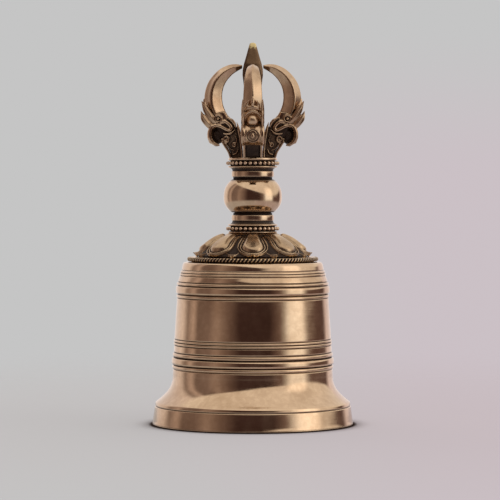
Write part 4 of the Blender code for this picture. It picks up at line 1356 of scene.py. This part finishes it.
washer_outline = [
    (BOWL_BORE, washer_low[2] + 0.1 * MM),
    (BOWL_BORE + 0.1 * MM, washer_low[2]),
    (washer_high[0] - 0.45 * MM, washer_low[2]),
    (washer_high[0] - 0.12 * MM, washer_low[2] + 0.14 * MM),
    (washer_high[0], washer_low[2] + 0.45 * MM),
    (washer_high[0], washer_high[2] - 0.1 * MM),
    (washer_high[0] - 0.1 * MM, washer_high[2] + SEAT),
    (BOWL_BORE, washer_high[2] + SEAT),
]
washer = turned("seat_washer", washer_outline, 72, fastening_iron)
age(washer, 2, 6)
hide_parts("crown_washer")
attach(washer, "bell")

NUT_FLATS = min(nut_high[0] - nut_low[0], nut_high[1] - nut_low[1]) / 2
NUT_SIDES = 72
NUT_CHAMFER = 0.62  # how far a corner is cut down, for each part that it stands out
NUT_FIRST_CORNER = 0.0 if nut_high[0] - nut_low[0] > nut_high[1] - nut_low[1] else math.pi / 6
nut_foot, nut_top = nut_low[2], nut_high[2] + SEAT


def six_sided(level, towards):
    """The nut's outline at one end, its corners cut back towards its middle."""
    ring = []
    for turn in np.linspace(0, math.tau, NUT_SIDES, endpoint=False):
        off = (turn + NUT_FIRST_CORNER) % (math.pi / 3) - math.pi / 6
        reach = NUT_FLATS / math.cos(off)
        height = level + towards * max(0.0, reach - NUT_FLATS) * NUT_CHAMFER
        ring.append(Vector((reach * math.cos(turn), reach * math.sin(turn), height)))
    return ring


rings = [circle(NUT_FLATS - 0.1 * MM, nut_foot, NUT_SIDES), six_sided(nut_foot, 1)]
rings += [six_sided(nut_top, -1), circle(NUT_FLATS - 0.1 * MM, nut_top, NUT_SIDES)]
for height, reach in (
    (nut_top, BOWL_BORE + 0.15 * MM),
    (nut_high[2], BOWL_BORE),
    (nut_foot + 0.2 * MM, BOWL_BORE),
    (nut_foot, BOWL_BORE + 0.2 * MM),
):
    rings.append(circle(reach, height, NUT_SIDES))
bm = bmesh.new()
rings = [[bm.verts.new(point) for point in ring] for ring in rings]
for near, far in zip(rings, rings[1:] + rings[:1]):
    for i in range(NUT_SIDES):
        j = (i + 1) % NUT_SIDES
        bm.faces.new((near[i], near[j], far[j], far[i]))
nut = finished("crown_hex_nut", fastening_iron, sharp=30, bm=bm)
age(nut, 2, 6)
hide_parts("crown_nut")
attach(nut, "bell")


# ---------------------------------------------------------------- Stirrup and its pin
# A strip of brass bent into a U round the rod's head, free to turn on the rod. A rivet
# through its two legs carries the clapper.

stirrup_low, stirrup_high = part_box("clapper_stirrup")
pin_low, pin_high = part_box("stirrup_pin")
PIN_HEIGHT = (pin_low[2] + pin_high[2]) / 2
STRIP = 1.4 * MM
STRIP_WIDE = stirrup_high[0]
LEG = stirrup_high[1]
PIN = 1.3 * MM
PIN_HOLE = 1.6 * MM
BEND = 2.2 * MM
FOOT_ROUNDING = ((0.0, 0.55), (0.5, 0.76), (1.3, 0.93), (2.6, 1.0))  # (height, share of width)
strip_path = [(-LEG, stirrup_low[2] + up * MM, wide) for up, wide in FOOT_ROUNDING]
leg_heights = np.linspace(stirrup_low[2] + 3.6 * MM, stirrup_high[2] - BEND, 4)
strip_path += [(-LEG, height, 1.0) for height in leg_heights]
for turn in np.linspace(0, math.pi / 2, 8)[1:]:
    along, drop = BEND * (1 - math.cos(turn)), BEND * (1 - math.sin(turn))
    strip_path.append((-LEG + along, stirrup_high[2] - drop, 1.0))
strip_path += [(y, stirrup_high[2], 1.0) for y in (-2.6 * MM, 0.0)]
strip_path += [(-y, z, wide) for y, z, wide in reversed(strip_path[:-1])]


def strip_loops():
    loops = []
    for i, (y, z, wide) in enumerate(strip_path):
        before, after = strip_path[max(i - 1, 0)], strip_path[min(i + 1, len(strip_path) - 1)]
        along = Vector((0.0, after[0] - before[0], after[1] - before[1])).normalized()
        inward = Vector((0.0, along.z, -along.y))
        half = STRIP_WIDE * wide
        soft = 0.22 * MM
        spot = Vector((0.0, y, z))
        loop = []
        corner = [(half - soft, 0.0), (half, soft), (half, STRIP - soft), (half - soft, STRIP)]
        mirrored = [(-x, depth) for x, depth in reversed(corner)]
        for x, depth in (*corner, (0.0, STRIP), *mirrored, (0.0, 0.0)):
            loop.append(spot + Vector((x, 0.0, 0.0)) + inward * depth)
        loops.append(loop)
    return loops


def drilled(piece, holes):
    """Cuts round holes, each given as (length, turn and place, radius)."""
    tools = []
    for length, matrix, radius in holes:
        bm = bmesh.new()
        bmesh.ops.create_cone(
            bm,
            cap_ends=True,
            segments=40,
            radius1=radius,
            radius2=radius,
            depth=length,
            matrix=matrix,
        )
        mesh = bpy.data.meshes.new("drill")
        bm.to_mesh(mesh)
        bm.free()
        tools.append(linked("drill", mesh))
        cut = piece.modifiers.new("hole", "BOOLEAN")
        cut.operation = "DIFFERENCE"
        cut.solver = "EXACT"
        cut.object = tools[-1]
    piece = plain(piece)
    for tool in tools:
        bpy.data.objects.remove(tool, do_unlink=True)
    piece.data.set_sharp_from_angle(angle=math.radians(35))
    return piece


def barrel(reach, across, count):
    """An upright ring of points about the pin's axis."""
    turns = np.linspace(0, math.tau, count, endpoint=False)
    return [
        Vector((reach * math.cos(turn), across, PIN_HEIGHT + reach * math.sin(turn)))
        for turn in turns
    ]


ALONG_Y = Matrix.Rotation(math.pi / 2, 4, "X")
stirrup_brass = bronze(
    "stirrup_brass",
    bright=(0.62, 0.46, 0.23),
    mid=(0.40, 0.285, 0.13),
    polish=0.26,
    hollow_gain=6.0,
    crease=1.0 * MM,
    cast_skin=0.6,
)
stirrup = finished("clapper_stirrup_strip", stirrup_brass, strip_loops(), sharp=35)
stirrup = drilled(
    stirrup,
    [
        (6 * MM, Matrix.Translation((0.0, 0.0, stirrup_high[2])), BOWL_BORE),
        (4 * LEG, Matrix.Translation((0.0, 0.0, PIN_HEIGHT)) @ ALONG_Y, PIN_HOLE),
    ],
)
age(stirrup, 1, 4)
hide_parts("clapper_stirrup")
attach(stirrup, "stirrup")

clapper_iron = iron("clapper_iron", (0.20, 0.185, 0.175), (0.10, 0.048, 0.022), 0.38)
PIN_HEAD = pin_high[0]
head_inner = pin_high[1] - 0.9 * MM
pin_profile = [(0.35, 1.0), (0.75, 0.9), (0.95, 0.6), (1.0, 0.25), (0.97, 0.0)]
half_pin = [(PIN_HEAD * wide, head_inner + 0.9 * MM * tall) for wide, tall in pin_profile]
half_pin.append((PIN, head_inner))
loops = [barrel(reach, -y, 28) for reach, y in half_pin]
loops += [barrel(reach, y, 28) for reach, y in reversed(half_pin)]
pin = finished("stirrup_rivet", clapper_iron, loops, sharp=40)
age(pin, 2, 6)
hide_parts("stirrup_pin")
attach(pin, "stirrup")


# ---------------------------------------------------------------- Clapper
# A forged iron shank with a barrel eye on the rivet. The turned brass ball is threaded on
# it and held by the shank's end, which is hammered over below.

shank_low, shank_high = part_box("clapper_rod")
ball_low, ball_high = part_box("clapper_ball")
EYE = shank_high[2] - PIN_HEIGHT
EYE_HALF = shank_high[1]
SHANK = 1.8 * MM
SHANK_FOOT = 2.3 * MM
BALL = ball_high[0]
BALL_MIDDLE = (ball_low[2] + ball_high[2]) / 2
EYE_PROFILE = [(1.0, 0.86), (0.96, 0.95), (0.88, 1.0), (0.3, 1.0)]  # (share across, share out)
eye_rows = [(-y, wide) for y, wide in EYE_PROFILE] + EYE_PROFILE[::-1]
eye_loops = [barrel(EYE * wide, EYE_HALF * y, 48) for y, wide in eye_rows]
eye_foot = PIN_HEIGHT - EYE
taper_top, taper_foot = eye_foot - 2.6 * MM, shank_low[2] + 3.0 * MM
shank_rows = [(PIN_HEIGHT - 1.9 * MM, 2.5 * MM), (eye_foot - 0.1 * MM, 2.35 * MM)]
shank_rows += [(eye_foot - 1.2 * MM, 1.95 * MM), (taper_top, SHANK)]
for share in np.linspace(0.1, 0.9, 9):
    dent = 0.05 * MM * math.sin(17.0 * share)
    height = taper_top + (taper_foot - taper_top) * share
    shank_rows.append((height, SHANK + (SHANK_FOOT - SHANK) * share + dent))
shank_rows += [(ball_low[2] - 0.02 * MM, SHANK_FOOT), (shank_low[2] + 0.9 * MM, 2.75 * MM)]
shank_rows += [(shank_low[2] + 0.3 * MM, 2.6 * MM), (shank_low[2], 1.6 * MM)]
loops = []
for height, reach in shank_rows:
    loop = []
    for corner in range(8):
        for aside in (-0.33, 0.0, 0.33):
            a = math.tau * (corner + 0.5 + aside) / 8
            off = (a + math.pi / 8) % (math.pi / 4) - math.pi / 8
            out = reach * min(math.cos(math.pi / 8) / math.cos(off), 0.985)
            loop.append(Vector((out * math.cos(a), out * math.sin(a), height)))
    loops.append(loop)
forged = fused(finished("clapper_shank", clapper_iron, eye_loops, loops), 0.16 * MM)
eye_hole = (4 * EYE_HALF, Matrix.Translation((0.0, 0.0, PIN_HEIGHT)) @ ALONG_Y, PIN_HOLE)
shank = drilled(forged, [eye_hole])
shank.data.shade_smooth()
shank.data.set_sharp_from_angle(angle=math.radians(50))
if not shank.data.materials:
    shank.data.materials.append(clapper_iron)
age(shank, 3, 12)
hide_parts("clapper_rod")
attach(shank, "clapper")

bore = SHANK_FOOT + 0.3 * MM
ball_outline = []
start = math.acos(bore / BALL)
for turn in np.linspace(-start, start, 44):
    reach = BALL - 0.10 * MM * (abs(abs(turn) - 0.30) < 0.04)
    ball_outline.append((reach * math.cos(turn), BALL_MIDDLE + reach * math.sin(turn)))
ball_outline[0] = (bore, ball_outline[0][1] + 0.05 * MM)
ball_outline[-1] = (bore, ball_outline[-1][1] - 0.05 * MM)
ball_brass = bronze(
    "ball_brass",
    bright=(0.66, 0.50, 0.26),
    mid=(0.45, 0.325, 0.15),
    polish=0.20,
    hollow_gain=12.0,
    crease=1.2 * MM,
    turned_marks=0.8,
    cast_skin=0.5,
)
striker = turned("clapper_ball_brass", ball_outline, 96, ball_brass)
age(striker, 2, 10)
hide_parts("clapper_ball")
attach(striker, "clapper")
